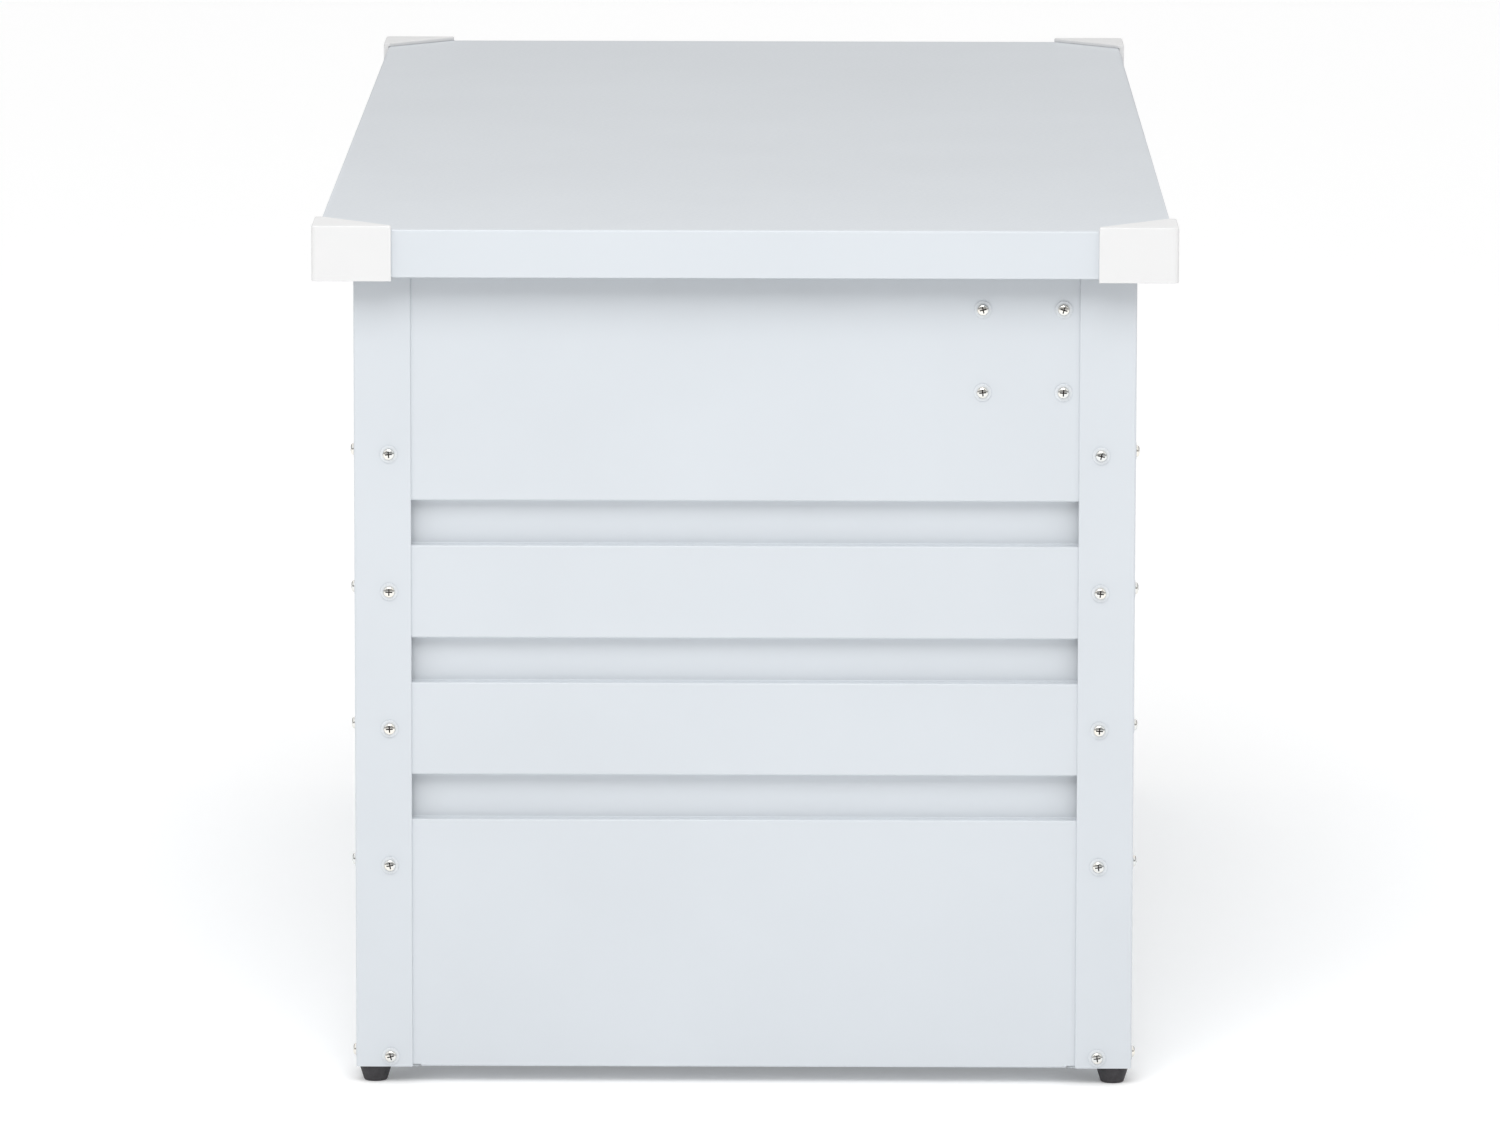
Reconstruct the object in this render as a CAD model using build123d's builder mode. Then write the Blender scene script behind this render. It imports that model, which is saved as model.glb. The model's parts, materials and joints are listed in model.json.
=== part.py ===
from build123d import *
import os
from math import cos, hypot, radians, sin

# A garden storage box of folded sheet steel with a hinged lid on two gas struts, in millimetres.
# X runs along the box, Y from its front (-) to its back (+), Z up from the floor it stands on.
# The origin is under the middle of the box, on the floor.

os.makedirs("parts", exist_ok=True)

# ---------------------------------------------------------------- driving sizes
# Body
body_length = 1262.6  # over the corner posts
body_depth = 562.6  # over the corner posts
body_height = 606.0  # from the lower ends of the posts to the top edges of the panels
panel_sheet = 0.6
post_sheet = 0.8
post_width = 41.0  # each leg of a corner post
hem_width = 6.0  # doubled safe edge of a post's leg
panel_end_gap = 14.0  # a panel's end to the outer face round the corner
groove_count = 3
top_plank_height = 190.6
groove_pitch = 100.2
groove_height = 32.4
groove_depth = 10.0
long_top_flange = 18.0
long_top_lip = 8.0
end_top_flange = 9.0
bottom_flange = 20.0

# Floor
bead_height = 4.0  # pressed stiffening beads
bead_foot = 24.0
bead_crown = 16.0
floor_gap = 0.3
rail_width = 40.0
rail_leg = 8.0
rail_tongue = 30.0  # width of the tongue at each end
rail_tongue_length = 12.0

# Feet
foot_height = 12.0
foot_top_radius = 11.7
foot_bottom_radius = 8.3
foot_edge_round = 0.8
foot_inset = 13.5  # foot centre to the two outer faces of its corner
foot_recess_gap = 0.6  # round the foot bolt's head, on the radius
foot_recess_depth = 6.0
bracket_size = 44.0  # foot bracket, from the inside faces of the panels
bracket_sheet = 1.2
bracket_tab_width = 24.0
bracket_tab_height = 16.0

# Fasteners
screw_radius = 2.0
screw_head_radius = 4.0
screw_head_height = 2.5
screw_length = 10.0
screw_hole_gap = 0.2  # round a screw's shank, on the radius
cross_length = 4.6
cross_width = 0.9
cross_depth = 1.2
washer_radius = 6.3
washer_height = 1.0
nut_across_flats = 7.0
nut_height = 3.2
thread_gap = 0.05  # a nut's bore and its screw, on the radius
post_screw_inset = 25.0  # from the outer face round the corner
foot_screw_height = 7.8  # lowest post screw above the post's lower end
foot_bolt_radius = 2.5
foot_bolt_head_radius = 4.6
foot_bolt_head_height = 3.0
foot_nut_across_flats = 8.0
foot_nut_height = 4.0

# Lid
lid_sheet_thickness = 0.6
lid_overhang = 24.7  # lid steel past the body, all round
lid_gap = 8.4  # panels' top edges to the underside of the lid
rim_height = 34.6
rim_hem = 7.0
cap_wall = 4.0  # cap proud of the rim
cap_top = 3.0  # cap proud of the lid
cap_drop = 2.4  # cap below the rim
cap_leg = 57.0
cap_straight = 5.0  # square ends of the cap's slanted top edge
cap_lip = 10.0
cap_return = 1.6  # wall inside the rim
cap_return_height = 12.0
cap_corner_round = 3.5
cap_edge_round = 1.2
cap_fit = 0.3
lid_rail_spread = 660.0
lid_rail_crown = 34.0
lid_rail_flange = 14.0
lid_rail_height = 15.0
lid_rail_clearance = 12.0  # to the panels' top flanges, for the turning lid
buffer_radius = 7.0
buffer_gap = 0.3
buffer_spread = 1000.0

# Hinges
hinge_places = {"left": -430.0, "middle": 0.0, "right": 430.0}
hinge_width = 60.0
hinge_sheet = 1.5
knuckle_radius = 4.2
knuckle_gap = 0.6
pin_gap = 0.05
pin_head = 1.2
hinge_drop = 5.0  # pin's axis below the lid's rim
hinge_leaf_height = 38.0
hinge_screw_spacing = 36.0
hinge_screw_edge = 11.0  # screw to the far edge of its leaf

# Gas struts
lid_opening = 70.0  # degrees
plate_from_back = 81.6  # middle of the plate to the body's back face
plate_below_top = 81.0  # middle of the plate to the panels' top edges
plate_screw_spacing_y = 58.0
plate_screw_spacing_z = 60.0
plate_margin = 12.0
plate_sheet = 2.0
lower_ball = (-70.0, -52.0)  # ball centre from the hinge axis, along Y and Z, lid closed
upper_ball = (-235.0, 18.0)
ball_radius = 5.0
ball_gap = 0.06
neck_radius = 3.0
collar_radius = 5.5
collar_height = 3.0
lower_stud_reach = 16.0  # ball centre to the plate
upper_stud_reach = 14.0  # ball centre to the lid's bracket
open_pivot_gap = 0.3  # upper stud to the lid's bracket
socket_side_wall = 2.94  # round the ball
socket_back_wall = 0.94  # behind the ball, away from the stud
socket_front = 3.5
socket_grip = 0.7  # mouth narrower than the ball, on the radius
socket_wall = 1.0  # left round the ball where the shank starts
socket_shank_radius = 5.0
socket_shank = 20.0
tube_radius = 7.5
tube_wall = 1.2
tube_floor = 4.0
guide_length = 14.0
rod_radius = 3.0
rod_gap = 0.06
piston_height = 8.0
piston_gap = 0.1
piston_rest = 10.0  # above the tube's floor, lid closed
bracket_width = 30.0
bracket_flange = 25.0
bracket_drop = 12.0  # below the upper ball centre

# ---------------------------------------------------------------- worked-out places
screw_hole_radius = screw_radius + screw_hole_gap
half_length = body_length / 2
half_depth = body_depth / 2
body_bottom = foot_height
body_top = body_bottom + body_height
panel_inset = 2 * post_sheet  # a panel lies on the posts' doubled hems
end_face = half_length - panel_inset
long_face = half_depth - panel_inset
end_inner = end_face - panel_sheet
long_inner = long_face - panel_sheet
end_panel_half = half_depth - panel_end_gap
long_panel_half = half_length - panel_end_gap
bracket_clearance = 1.0
end_flange_half = long_inner - bracket_size - bracket_clearance
long_flange_half = end_inner - bracket_size - bracket_clearance
first_groove_top = body_top - top_plank_height
plank_height = groove_pitch - groove_height
post_screw_heights = [
    first_groove_top + plank_height / 2 - step * groove_pitch for step in range(groove_count + 1)
]
foot_screw_level = body_bottom + foot_screw_height

lid_top = body_top + lid_gap + lid_sheet_thickness
lid_under = lid_top - lid_sheet_thickness
rim_bottom = lid_top - rim_height
lid_half_length = half_length + lid_overhang
lid_half_depth = half_depth + lid_overhang
rim_inner = lid_half_depth - lid_sheet_thickness
hem_inner = rim_inner - lid_sheet_thickness

hinge_y = long_face + knuckle_radius
hinge_z = rim_bottom - hinge_drop
leaf_bottom = hinge_z - hinge_leaf_height
knuckle_bore = knuckle_radius - hinge_sheet
pin_radius = knuckle_bore - pin_gap
knuckle_length = (hinge_width - 2 * knuckle_gap) / 3
body_leaf_screw_level = leaf_bottom + hinge_screw_edge
lid_leaf_top = lid_under - lid_gap
lid_leaf_screw_level = lid_leaf_top - hinge_screw_edge

plate_y = half_depth - plate_from_back
plate_z = body_top - plate_below_top
plate_screw_ys = [plate_y + step * plate_screw_spacing_y / 2 for step in (-1, 1)]
plate_screw_levels = [plate_z + step * plate_screw_spacing_z / 2 for step in (-1, 1)]
plate_inner = end_inner - plate_sheet
ball_x = plate_inner - lower_stud_reach
lid_bracket_face = ball_x - upper_stud_reach
lower_y = hinge_y + lower_ball[0]
lower_z = hinge_z + lower_ball[1]
upper_y = hinge_y + upper_ball[0]
upper_z = hinge_z + upper_ball[1]
strut_closed = hypot(upper_y - lower_y, upper_z - lower_z)
strut_way = ((upper_y - lower_y) / strut_closed, (upper_z - lower_z) / strut_closed)
turn = radians(lid_opening)
open_y = upper_ball[0] * cos(turn) + upper_ball[1] * sin(turn)
open_z = upper_ball[1] * cos(turn) - upper_ball[0] * sin(turn)
strut_open = hypot(open_y - lower_ball[0], open_z - lower_ball[1])
strut_stroke = strut_open - strut_closed
tube_end = strut_closed - socket_shank
tube_bore = tube_radius - tube_wall
ball_cavity = ball_radius + ball_gap
socket_radius = ball_cavity + socket_side_wall
socket_back = ball_cavity + socket_back_wall
socket_mouth_radius = ball_radius - socket_grip
piston_place = socket_shank + tube_floor + piston_rest

sides = {"left": -1, "right": 1}
corners = {
    "front_left": (-1, -1),
    "front_right": (1, -1),
    "back_left": (-1, 1),
    "back_right": (1, 1),
}


# ---------------------------------------------------------------- helpers
def write_piece(part, name):
    """Label a finished piece and write its STEP file."""
    part.label = name
    export_step(part, f"parts/{name}.step")


def flipped(part, x_sign, y_sign):
    """A piece modelled at the back right, mirrored to the corner or side with these signs."""
    if x_sign < 0:
        part = mirror(part, about=Plane.YZ, mode=Mode.PRIVATE)
    if y_sign < 0:
        part = mirror(part, about=Plane.XZ, mode=Mode.PRIVATE)
    return part


def facing(x, y, z, x_way, y_way):
    """A place on an upright face whose outward normal is (x_way, y_way)."""
    return Location(Plane(origin=(x, y, z), z_dir=(x_way, y_way, 0), x_dir=(-y_way, x_way, 0)))


def panel_outline(top_flange, top_lip):
    """Outer surface of a ribbed panel, from its bottom flange up: (distance outwards, height)."""
    points = [(-bottom_flange, body_bottom), (0, body_bottom)]
    for step in reversed(range(groove_count)):
        groove_top = first_groove_top - step * groove_pitch
        groove_bottom = groove_top - groove_height
        points += [(0, groove_bottom), (-groove_depth, groove_bottom)]
        points += [(-groove_depth, groove_top), (0, groove_top)]
    points += [(0, body_top), (-top_flange, body_top)]
    if top_lip:
        points += [(-top_flange, body_top - top_lip)]
    return points


def post_holes():
    """Heights of the screw holes in a post's leg."""
    return post_screw_heights + [foot_screw_level]


# ---------------------------------------------------------------- end panels
with BuildPart() as end_panel:
    with BuildSketch(Plane.XZ):
        with BuildLine():
            Polyline(*[(end_face + out, height) for out, height in panel_outline(end_top_flange, 0)])
            offset(amount=panel_sheet, side=Side.LEFT, kind=Kind.TANGENT)
        make_face()
    extrude(amount=end_panel_half, both=True)
    # the flanges stop short of the corners
    for y_sign in (-1, 1):
        notch = end_panel_half - end_flange_half
        middle = y_sign * (end_flange_half + notch / 2)
        with Locations((end_inner, middle, body_bottom), (end_inner, middle, body_top)):
            Box(
                2 * bottom_flange, notch, 2 * panel_sheet,
                align=(Align.MAX, Align.CENTER, Align.CENTER), mode=Mode.SUBTRACT,
            )
    hole_places = [
        facing(end_face, y_sign * (half_depth - post_screw_inset), height, 1, 0)
        for y_sign in (-1, 1)
        for height in post_holes()
    ]
    plate_screw_places = [
        facing(end_face, y, z, 1, 0) for y in plate_screw_ys for z in plate_screw_levels
    ]
    with Locations(*hole_places, *plate_screw_places):
        Cylinder(screw_hole_radius, 4 * panel_sheet, mode=Mode.SUBTRACT)
for side, x_sign in sides.items():
    write_piece(flipped(end_panel.part, x_sign, 1), f"{side}_end_panel")

# ---------------------------------------------------------------- front and back panels
with BuildPart() as long_panel:
    with BuildSketch(Plane.YZ):
        with BuildLine():
            Polyline(
                *[(long_face + out, height) for out, height in panel_outline(long_top_flange, long_top_lip)]
            )
            offset(amount=panel_sheet, side=Side.LEFT, kind=Kind.TANGENT)
        make_face()
    extrude(amount=long_panel_half, both=True)
    for x_sign in (-1, 1):
        notch = long_panel_half - long_flange_half
        middle = x_sign * (long_flange_half + notch / 2)
        with Locations((middle, long_inner, body_bottom)):
            Box(
                notch, 2 * bottom_flange, 2 * panel_sheet,
                align=(Align.CENTER, Align.MAX, Align.CENTER), mode=Mode.SUBTRACT,
            )
        with Locations((middle, long_inner, body_top)):
            Box(
                notch, 2 * long_top_flange, 2 * long_top_lip + panel_sheet,
                align=(Align.CENTER, Align.MAX, Align.CENTER), mode=Mode.SUBTRACT,
            )
    long_places = [
        facing(x_sign * (half_length - post_screw_inset), long_face, height, 0, 1)
        for x_sign in (-1, 1)
        for height in post_holes()
    ]
    with Locations(*long_places):
        Cylinder(screw_hole_radius, 4 * panel_sheet, mode=Mode.SUBTRACT)
write_piece(flipped(long_panel.part, 1, -1), "front_panel")

body_leaf_places = [
    facing(place + x_sign * hinge_screw_spacing / 2, long_face, body_leaf_screw_level, 0, 1)
    for place in hinge_places.values()
    for x_sign in (-1, 1)
]
with BuildPart() as back_panel:
    add(long_panel.part)
    with Locations(*body_leaf_places):
        Cylinder(screw_hole_radius, 4 * panel_sheet, mode=Mode.SUBTRACT)
write_piece(back_panel.part, "back_panel")

# ---------------------------------------------------------------- corner posts
with BuildPart() as post:
    with BuildSketch(Plane.XY.offset(body_bottom)):
        with BuildLine():
            Polyline(
                (half_length - post_width, half_depth), (half_length, half_depth),
                (half_length, half_depth - post_width),
            )
            offset(amount=post_sheet, side=Side.RIGHT, kind=Kind.TANGENT)
        make_face()
    extrude(amount=body_height)
    # the free edges are folded back on themselves
    with BuildSketch(Plane.XY.offset(body_bottom)):
        with Locations((half_length - post_width, half_depth - post_sheet)):
            Rectangle(hem_width, post_sheet, align=(Align.MIN, Align.MAX))
        with Locations((half_length - post_sheet, half_depth - post_width)):
            Rectangle(post_sheet, hem_width, align=(Align.MAX, Align.MIN))
    extrude(amount=body_height)
    with Locations(
        *[facing(half_length, half_depth - post_screw_inset, height, 1, 0) for height in post_holes()],
        *[facing(half_length - post_screw_inset, half_depth, height, 0, 1) for height in post_holes()],
    ):
        Cylinder(screw_hole_radius, 4 * post_sheet, mode=Mode.SUBTRACT)
for corner, (x_sign, y_sign) in corners.items():
    write_piece(flipped(post.part, x_sign, y_sign), f"{corner}_post")

# ---------------------------------------------------------------- floor
floor_bottom = body_bottom + panel_sheet
floor_half_length = end_inner - floor_gap
floor_half_depth = long_inner - floor_gap
bead_places = [floor_half_length / 3, 2 * floor_half_length / 3]
with BuildPart() as floor_panel:
    with BuildSketch(Plane.XZ):
        with BuildLine():
            outline = [(floor_gap, floor_bottom)]
            for place in bead_places:
                outline += [(place - bead_foot / 2, floor_bottom)]
                outline += [(place - bead_crown / 2, floor_bottom + bead_height)]
                outline += [(place + bead_crown / 2, floor_bottom + bead_height)]
                outline += [(place + bead_foot / 2, floor_bottom)]
            outline += [(floor_half_length, floor_bottom)]
            Polyline(*outline)
            offset(amount=panel_sheet, side=Side.LEFT, kind=Kind.TANGENT)
        make_face()
    extrude(amount=floor_half_depth, both=True)
    notch = bracket_size + bracket_clearance
    with Locations((floor_half_length, -floor_half_depth, floor_bottom)):
        Box(
            notch, notch, 4 * panel_sheet,
            align=(Align.MAX, Align.MIN, Align.CENTER), mode=Mode.SUBTRACT,
        )
    with Locations((floor_half_length, floor_half_depth, floor_bottom)):
        Box(
            notch, notch, 4 * panel_sheet,
            align=(Align.MAX, Align.MAX, Align.CENTER), mode=Mode.SUBTRACT,
        )
for side, x_sign in sides.items():
    write_piece(flipped(floor_panel.part, x_sign, 1), f"{side}_floor_panel")

rail_half = long_face - bottom_flange - floor_gap
with BuildPart() as floor_rail:
    with BuildSketch(Plane.XZ):
        with BuildLine():
            Polyline(
                (-rail_width / 2, floor_bottom - rail_leg), (-rail_width / 2, floor_bottom),
                (rail_width / 2, floor_bottom), (rail_width / 2, floor_bottom - rail_leg),
            )
            offset(amount=panel_sheet, side=Side.RIGHT, kind=Kind.TANGENT)
        make_face()
    extrude(amount=rail_half, both=True)
    # a tongue at each end lies under the panel's flange
    for y_sign in (-1, 1):
        with Locations((0, y_sign * rail_half, body_bottom)):
            Box(
                rail_tongue, 2 * rail_tongue_length, panel_sheet,
                align=(Align.CENTER, Align.CENTER, Align.MAX),
            )
write_piece(floor_rail.part, "floor_rail")

# ---------------------------------------------------------------- foot brackets and feet
foot_recess_radius = foot_bolt_head_radius + foot_recess_gap
foot_x = half_length - foot_inset
foot_y = half_depth - foot_inset
with BuildPart() as foot_bracket:
    with Locations((end_inner, long_inner, body_bottom)):
        Box(bracket_size, bracket_size, bracket_sheet, align=(Align.MAX, Align.MAX, Align.MIN))
    with Locations((end_inner, half_depth - post_screw_inset, body_bottom)):
        Box(
            bracket_sheet, bracket_tab_width, bracket_tab_height,
            align=(Align.MAX, Align.CENTER, Align.MIN),
        )
    with Locations((half_length - post_screw_inset, long_inner, body_bottom)):
        Box(
            bracket_tab_width, bracket_sheet, bracket_tab_height,
            align=(Align.CENTER, Align.MAX, Align.MIN),
        )
    with Locations(
        facing(end_inner, half_depth - post_screw_inset, foot_screw_level, 1, 0),
        facing(half_length - post_screw_inset, long_inner, foot_screw_level, 0, 1),
    ):
        Cylinder(screw_hole_radius, 4 * bracket_sheet, mode=Mode.SUBTRACT)
    with Locations((foot_x, foot_y, body_bottom)):
        Cylinder(foot_bolt_radius + thread_gap, 4 * bracket_sheet, mode=Mode.SUBTRACT)
for corner, (x_sign, y_sign) in corners.items():
    write_piece(flipped(foot_bracket.part, x_sign, y_sign), f"{corner}_foot_bracket")

with BuildPart() as foot:
    with BuildSketch(Plane.XZ):
        with BuildLine():
            Polyline(
                (foot_bolt_radius + thread_gap, foot_recess_depth), (foot_recess_radius, foot_recess_depth),
                (foot_recess_radius, 0), (foot_bottom_radius, 0), (foot_top_radius, foot_height),
                (foot_bolt_radius + thread_gap, foot_height), close=True,
            )
        make_face()
    revolve(axis=Axis.Z)
    outer_rim = foot.edges().filter_by(GeomType.CIRCLE).group_by(Axis.Z)[0].sort_by(SortBy.RADIUS)[-1]
    fillet(outer_rim, foot_edge_round)
for corner, (x_sign, y_sign) in corners.items():
    write_piece(Location((x_sign * foot_x, y_sign * foot_y, 0)) * foot.part, f"{corner}_foot")


def screw_piece(radius, length, head_radius, head_height):
    """A pan-head cross-recess screw, its head standing on Z = 0 and its shank below."""
    with BuildPart() as screw:
        Cylinder(head_radius, head_height, align=(Align.CENTER, Align.CENTER, Align.MIN))
        fillet(screw.edges().group_by(Axis.Z)[-1], head_height / 2)
        Cylinder(radius, length, align=(Align.CENTER, Align.CENTER, Align.MAX))
        with BuildSketch(Plane.XY.offset(head_height)):
            Rectangle(cross_length, cross_width)
            Rectangle(cross_width, cross_length)
        extrude(amount=-cross_depth, mode=Mode.SUBTRACT)
    return screw.part


def nut_piece(across_flats, height, bore_radius):
    """A hexagon nut whose outer face is at Z = 0, with its body below."""
    with BuildPart() as nut:
        with BuildSketch():
            RegularPolygon(across_flats / 2, 6, major_radius=False)
            Circle(bore_radius, mode=Mode.SUBTRACT)
        extrude(amount=-height)
    return nut.part


foot_bolt = screw_piece(
    foot_bolt_radius, foot_height + foot_nut_height + 2 * bracket_sheet - foot_recess_depth,
    foot_bolt_head_radius, foot_bolt_head_height,
)
foot_nut = nut_piece(foot_nut_across_flats, foot_nut_height, foot_bolt_radius + thread_gap)
foot_points = [(x_sign * foot_x, y_sign * foot_y) for x_sign, y_sign in corners.values()]
with BuildPart() as foot_bolts:
    with Locations(*[Location((x, y, foot_recess_depth), (180, 0, 0)) for x, y in foot_points]):
        add(foot_bolt)
write_piece(foot_bolts.part, "foot_bolts")
with BuildPart() as foot_nuts:
    nut_top = body_bottom + bracket_sheet + foot_nut_height
    with Locations(*[(x, y, nut_top) for x, y in foot_points]):
        add(foot_nut)
write_piece(foot_nuts.part, "foot_nuts")

# ---------------------------------------------------------------- body screws, washers and nuts
# each place is on the face under the washer, with the thickness that the screw clamps
post_stack = panel_inset + panel_sheet
clamped = []
for x_sign, y_sign in corners.values():
    for height in post_holes():
        stack = post_stack + (bracket_sheet if height == foot_screw_level else 0)
        inset = post_screw_inset
        clamped += [
            (facing(x_sign * half_length, y_sign * (half_depth - inset), height, x_sign, 0), stack),
            (facing(x_sign * (half_length - inset), y_sign * half_depth, height, 0, y_sign), stack),
        ]
for x_sign in sides.values():
    for y in plate_screw_ys:
        for z in plate_screw_levels:
            clamped += [(facing(x_sign * end_face, y, z, x_sign, 0), panel_sheet + plate_sheet)]
washer_places = [place for place, stack in clamped]
screw_places = [place * Location((0, 0, washer_height)) for place in washer_places]
nut_places = [place * Location((0, 0, -stack)) for place, stack in clamped]
# the hinge screws have no washer
screw_places += [place * Location((0, 0, hinge_sheet)) for place in body_leaf_places]
nut_places += [place * Location((0, 0, -panel_sheet)) for place in body_leaf_places]

screw = screw_piece(screw_radius, screw_length, screw_head_radius, screw_head_height)
nut = nut_piece(nut_across_flats, nut_height, screw_radius + thread_gap)
with BuildPart() as body_screws:
    with Locations(*screw_places):
        add(screw)
write_piece(body_screws.part, "body_screws")
with BuildPart() as body_nuts:
    with Locations(*nut_places):
        add(nut)
write_piece(body_nuts.part, "body_nuts")
with BuildPart() as body_washers:
    with Locations(*washer_places):
        Cylinder(washer_radius, washer_height, align=(Align.CENTER, Align.CENTER, Align.MIN))
        Cylinder(screw_hole_radius, 4 * washer_height, mode=Mode.SUBTRACT)
write_piece(body_washers.part, "body_washers")

# ---------------------------------------------------------------- strut plates and lower ball studs
with BuildPart() as strut_plate:
    with BuildSketch(Plane.YZ.offset(plate_inner)):
        with Locations((plate_y, plate_z)):
            RectangleRounded(
                plate_screw_spacing_y + 2 * plate_margin, plate_screw_spacing_z + 2 * plate_margin,
                plate_margin / 2,
            )
            with GridLocations(plate_screw_spacing_y, plate_screw_spacing_z, 2, 2):
                Circle(screw_hole_radius, mode=Mode.SUBTRACT)
        with Locations((lower_y, lower_z)):
            Circle(neck_radius, mode=Mode.SUBTRACT)
    extrude(amount=plate_sheet)
for side, x_sign in sides.items():
    write_piece(flipped(strut_plate.part, x_sign, 1), f"{side}_strut_plate")


def stud_piece(reach, shank):
    """A ball stud along Z: ball centre at Z = 0, seated at Z = reach, with a shank beyond."""
    with BuildPart() as stud:
        Sphere(ball_radius)
        with BuildSketch():
            Circle(neck_radius)
        extrude(amount=reach + shank)
        with BuildSketch(Plane.XY.offset(reach - collar_height)):
            RegularPolygon(collar_radius, 6)
        extrude(amount=collar_height)
    return stud.part


lower_stud = Plane(origin=(ball_x, lower_y, lower_z), z_dir=(1, 0, 0)).location * stud_piece(
    lower_stud_reach, plate_sheet
)
for side, x_sign in sides.items():
    write_piece(flipped(lower_stud, x_sign, 1), f"{side}_lower_ball_stud")

# ---------------------------------------------------------------- gas struts
def socket_piece(open_way):
    """A ball socket along Z on an X pivot, its mouth towards X * open_way and its shank up Z."""
    mouth_place = (ball_cavity**2 - socket_mouth_radius**2) ** 0.5
    with BuildPart() as socket:
        with BuildSketch(Plane.XZ):
            with BuildLine():
                Polyline(
                    (-open_way * ball_cavity, 0), (-open_way * socket_back, 0),
                    (-open_way * socket_back, socket_radius), (open_way * socket_front, socket_radius),
                    (open_way * socket_front, socket_mouth_radius),
                    (open_way * mouth_place, socket_mouth_radius),
                )
                ThreePointArc(
                    (open_way * mouth_place, socket_mouth_radius), (0, ball_cavity),
                    (-open_way * ball_cavity, 0),
                )
            make_face()
        revolve(axis=Axis.X)
        with BuildSketch(Plane.XY.offset(ball_cavity + socket_wall)):
            Circle(socket_shank_radius)
        extrude(amount=socket_shank - ball_cavity - socket_wall)
    return socket.part


strut_plane = Plane(origin=(ball_x, lower_y, lower_z), x_dir=(1, 0, 0), z_dir=(0, *strut_way))
upper_plane = Plane(
    origin=(ball_x, upper_y, upper_z), x_dir=(1, 0, 0), z_dir=(0, -strut_way[0], -strut_way[1])
)
lower_socket = strut_plane.location * socket_piece(1)
upper_socket = upper_plane.location * socket_piece(-1)

with BuildPart() as strut_tube:
    with BuildSketch(Plane.XZ):
        with BuildLine():
            Polyline(
                (0, socket_shank), (tube_radius, socket_shank), (tube_radius, tube_end),
                (rod_radius + rod_gap, tube_end), (rod_radius + rod_gap, tube_end - guide_length),
                (tube_bore, tube_end - guide_length), (tube_bore, socket_shank + tube_floor),
                (0, socket_shank + tube_floor), close=True,
            )
        make_face()
    revolve(axis=Axis.Z)
strut_tube_part = strut_plane.location * strut_tube.part

rod_top = strut_closed - socket_shank
with BuildPart() as piston_rod:
    with Locations((0, 0, piston_place)):
        Cylinder(
            tube_bore - piston_gap, piston_height, align=(Align.CENTER, Align.CENTER, Align.MIN)
        )
        Cylinder(rod_radius, rod_top - piston_place, align=(Align.CENTER, Align.CENTER, Align.MIN))
piston_rod_part = strut_plane.location * piston_rod.part

upper_stud = Plane(origin=(ball_x, upper_y, upper_z), z_dir=(-1, 0, 0)).location * stud_piece(
    upper_stud_reach - open_pivot_gap, 0
)
for side, x_sign in sides.items():
    write_piece(flipped(lower_socket, x_sign, 1), f"{side}_lower_socket")
    write_piece(flipped(strut_tube_part, x_sign, 1), f"{side}_strut_tube")
    write_piece(flipped(piston_rod_part, x_sign, 1), f"{side}_piston_rod")
    write_piece(flipped(upper_socket, x_sign, 1), f"{side}_upper_socket")
    write_piece(flipped(upper_stud, x_sign, 1), f"{side}_upper_ball_stud")

# ---------------------------------------------------------------- lid
lid_leaf_places = [
    facing(place + x_sign * hinge_screw_spacing / 2, lid_half_depth, lid_leaf_screw_level, 0, 1)
    for place in hinge_places.values()
    for x_sign in (-1, 1)
]
with BuildPart() as lid_sheet:
    with BuildSketch(Plane.XY.offset(rim_bottom)):
        Rectangle(2 * lid_half_length, 2 * lid_half_depth)
    extrude(amount=rim_height)
    with BuildSketch(Plane.XY.offset(rim_bottom)):
        Rectangle(2 * (lid_half_length - lid_sheet_thickness), 2 * rim_inner)
    extrude(amount=rim_height - lid_sheet_thickness, mode=Mode.SUBTRACT)
    # the rim's lower edge is folded up inside
    with BuildSketch(Plane.XY.offset(rim_bottom)):
        Rectangle(2 * (lid_half_length - lid_sheet_thickness), 2 * rim_inner)
        Rectangle(2 * (lid_half_length - 2 * lid_sheet_thickness), 2 * hem_inner, mode=Mode.SUBTRACT)
    extrude(amount=rim_hem)
    with Locations(*lid_leaf_places):
        Cylinder(screw_hole_radius, 4 * lid_sheet_thickness, mode=Mode.SUBTRACT)
write_piece(lid_sheet.part, "lid_sheet")

lid_rail_half = long_face - long_top_flange - lid_rail_clearance
with BuildPart() as lid_rail:
    with BuildSketch(Plane.XZ):
        with BuildLine():
            edge = lid_rail_crown / 2
            Polyline(
                (-edge - lid_rail_flange, lid_under), (-edge, lid_under),
                (-edge, lid_under - lid_rail_height), (edge, lid_under - lid_rail_height),
                (edge, lid_under), (edge + lid_rail_flange, lid_under),
            )
            offset(amount=panel_sheet, side=Side.RIGHT, kind=Kind.TANGENT)
        make_face()
    extrude(amount=lid_rail_half, both=True)
for side, x_sign in sides.items():
    write_piece(Location((x_sign * lid_rail_spread / 2, 0, 0)) * lid_rail.part, f"{side}_lid_rail")

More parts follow.
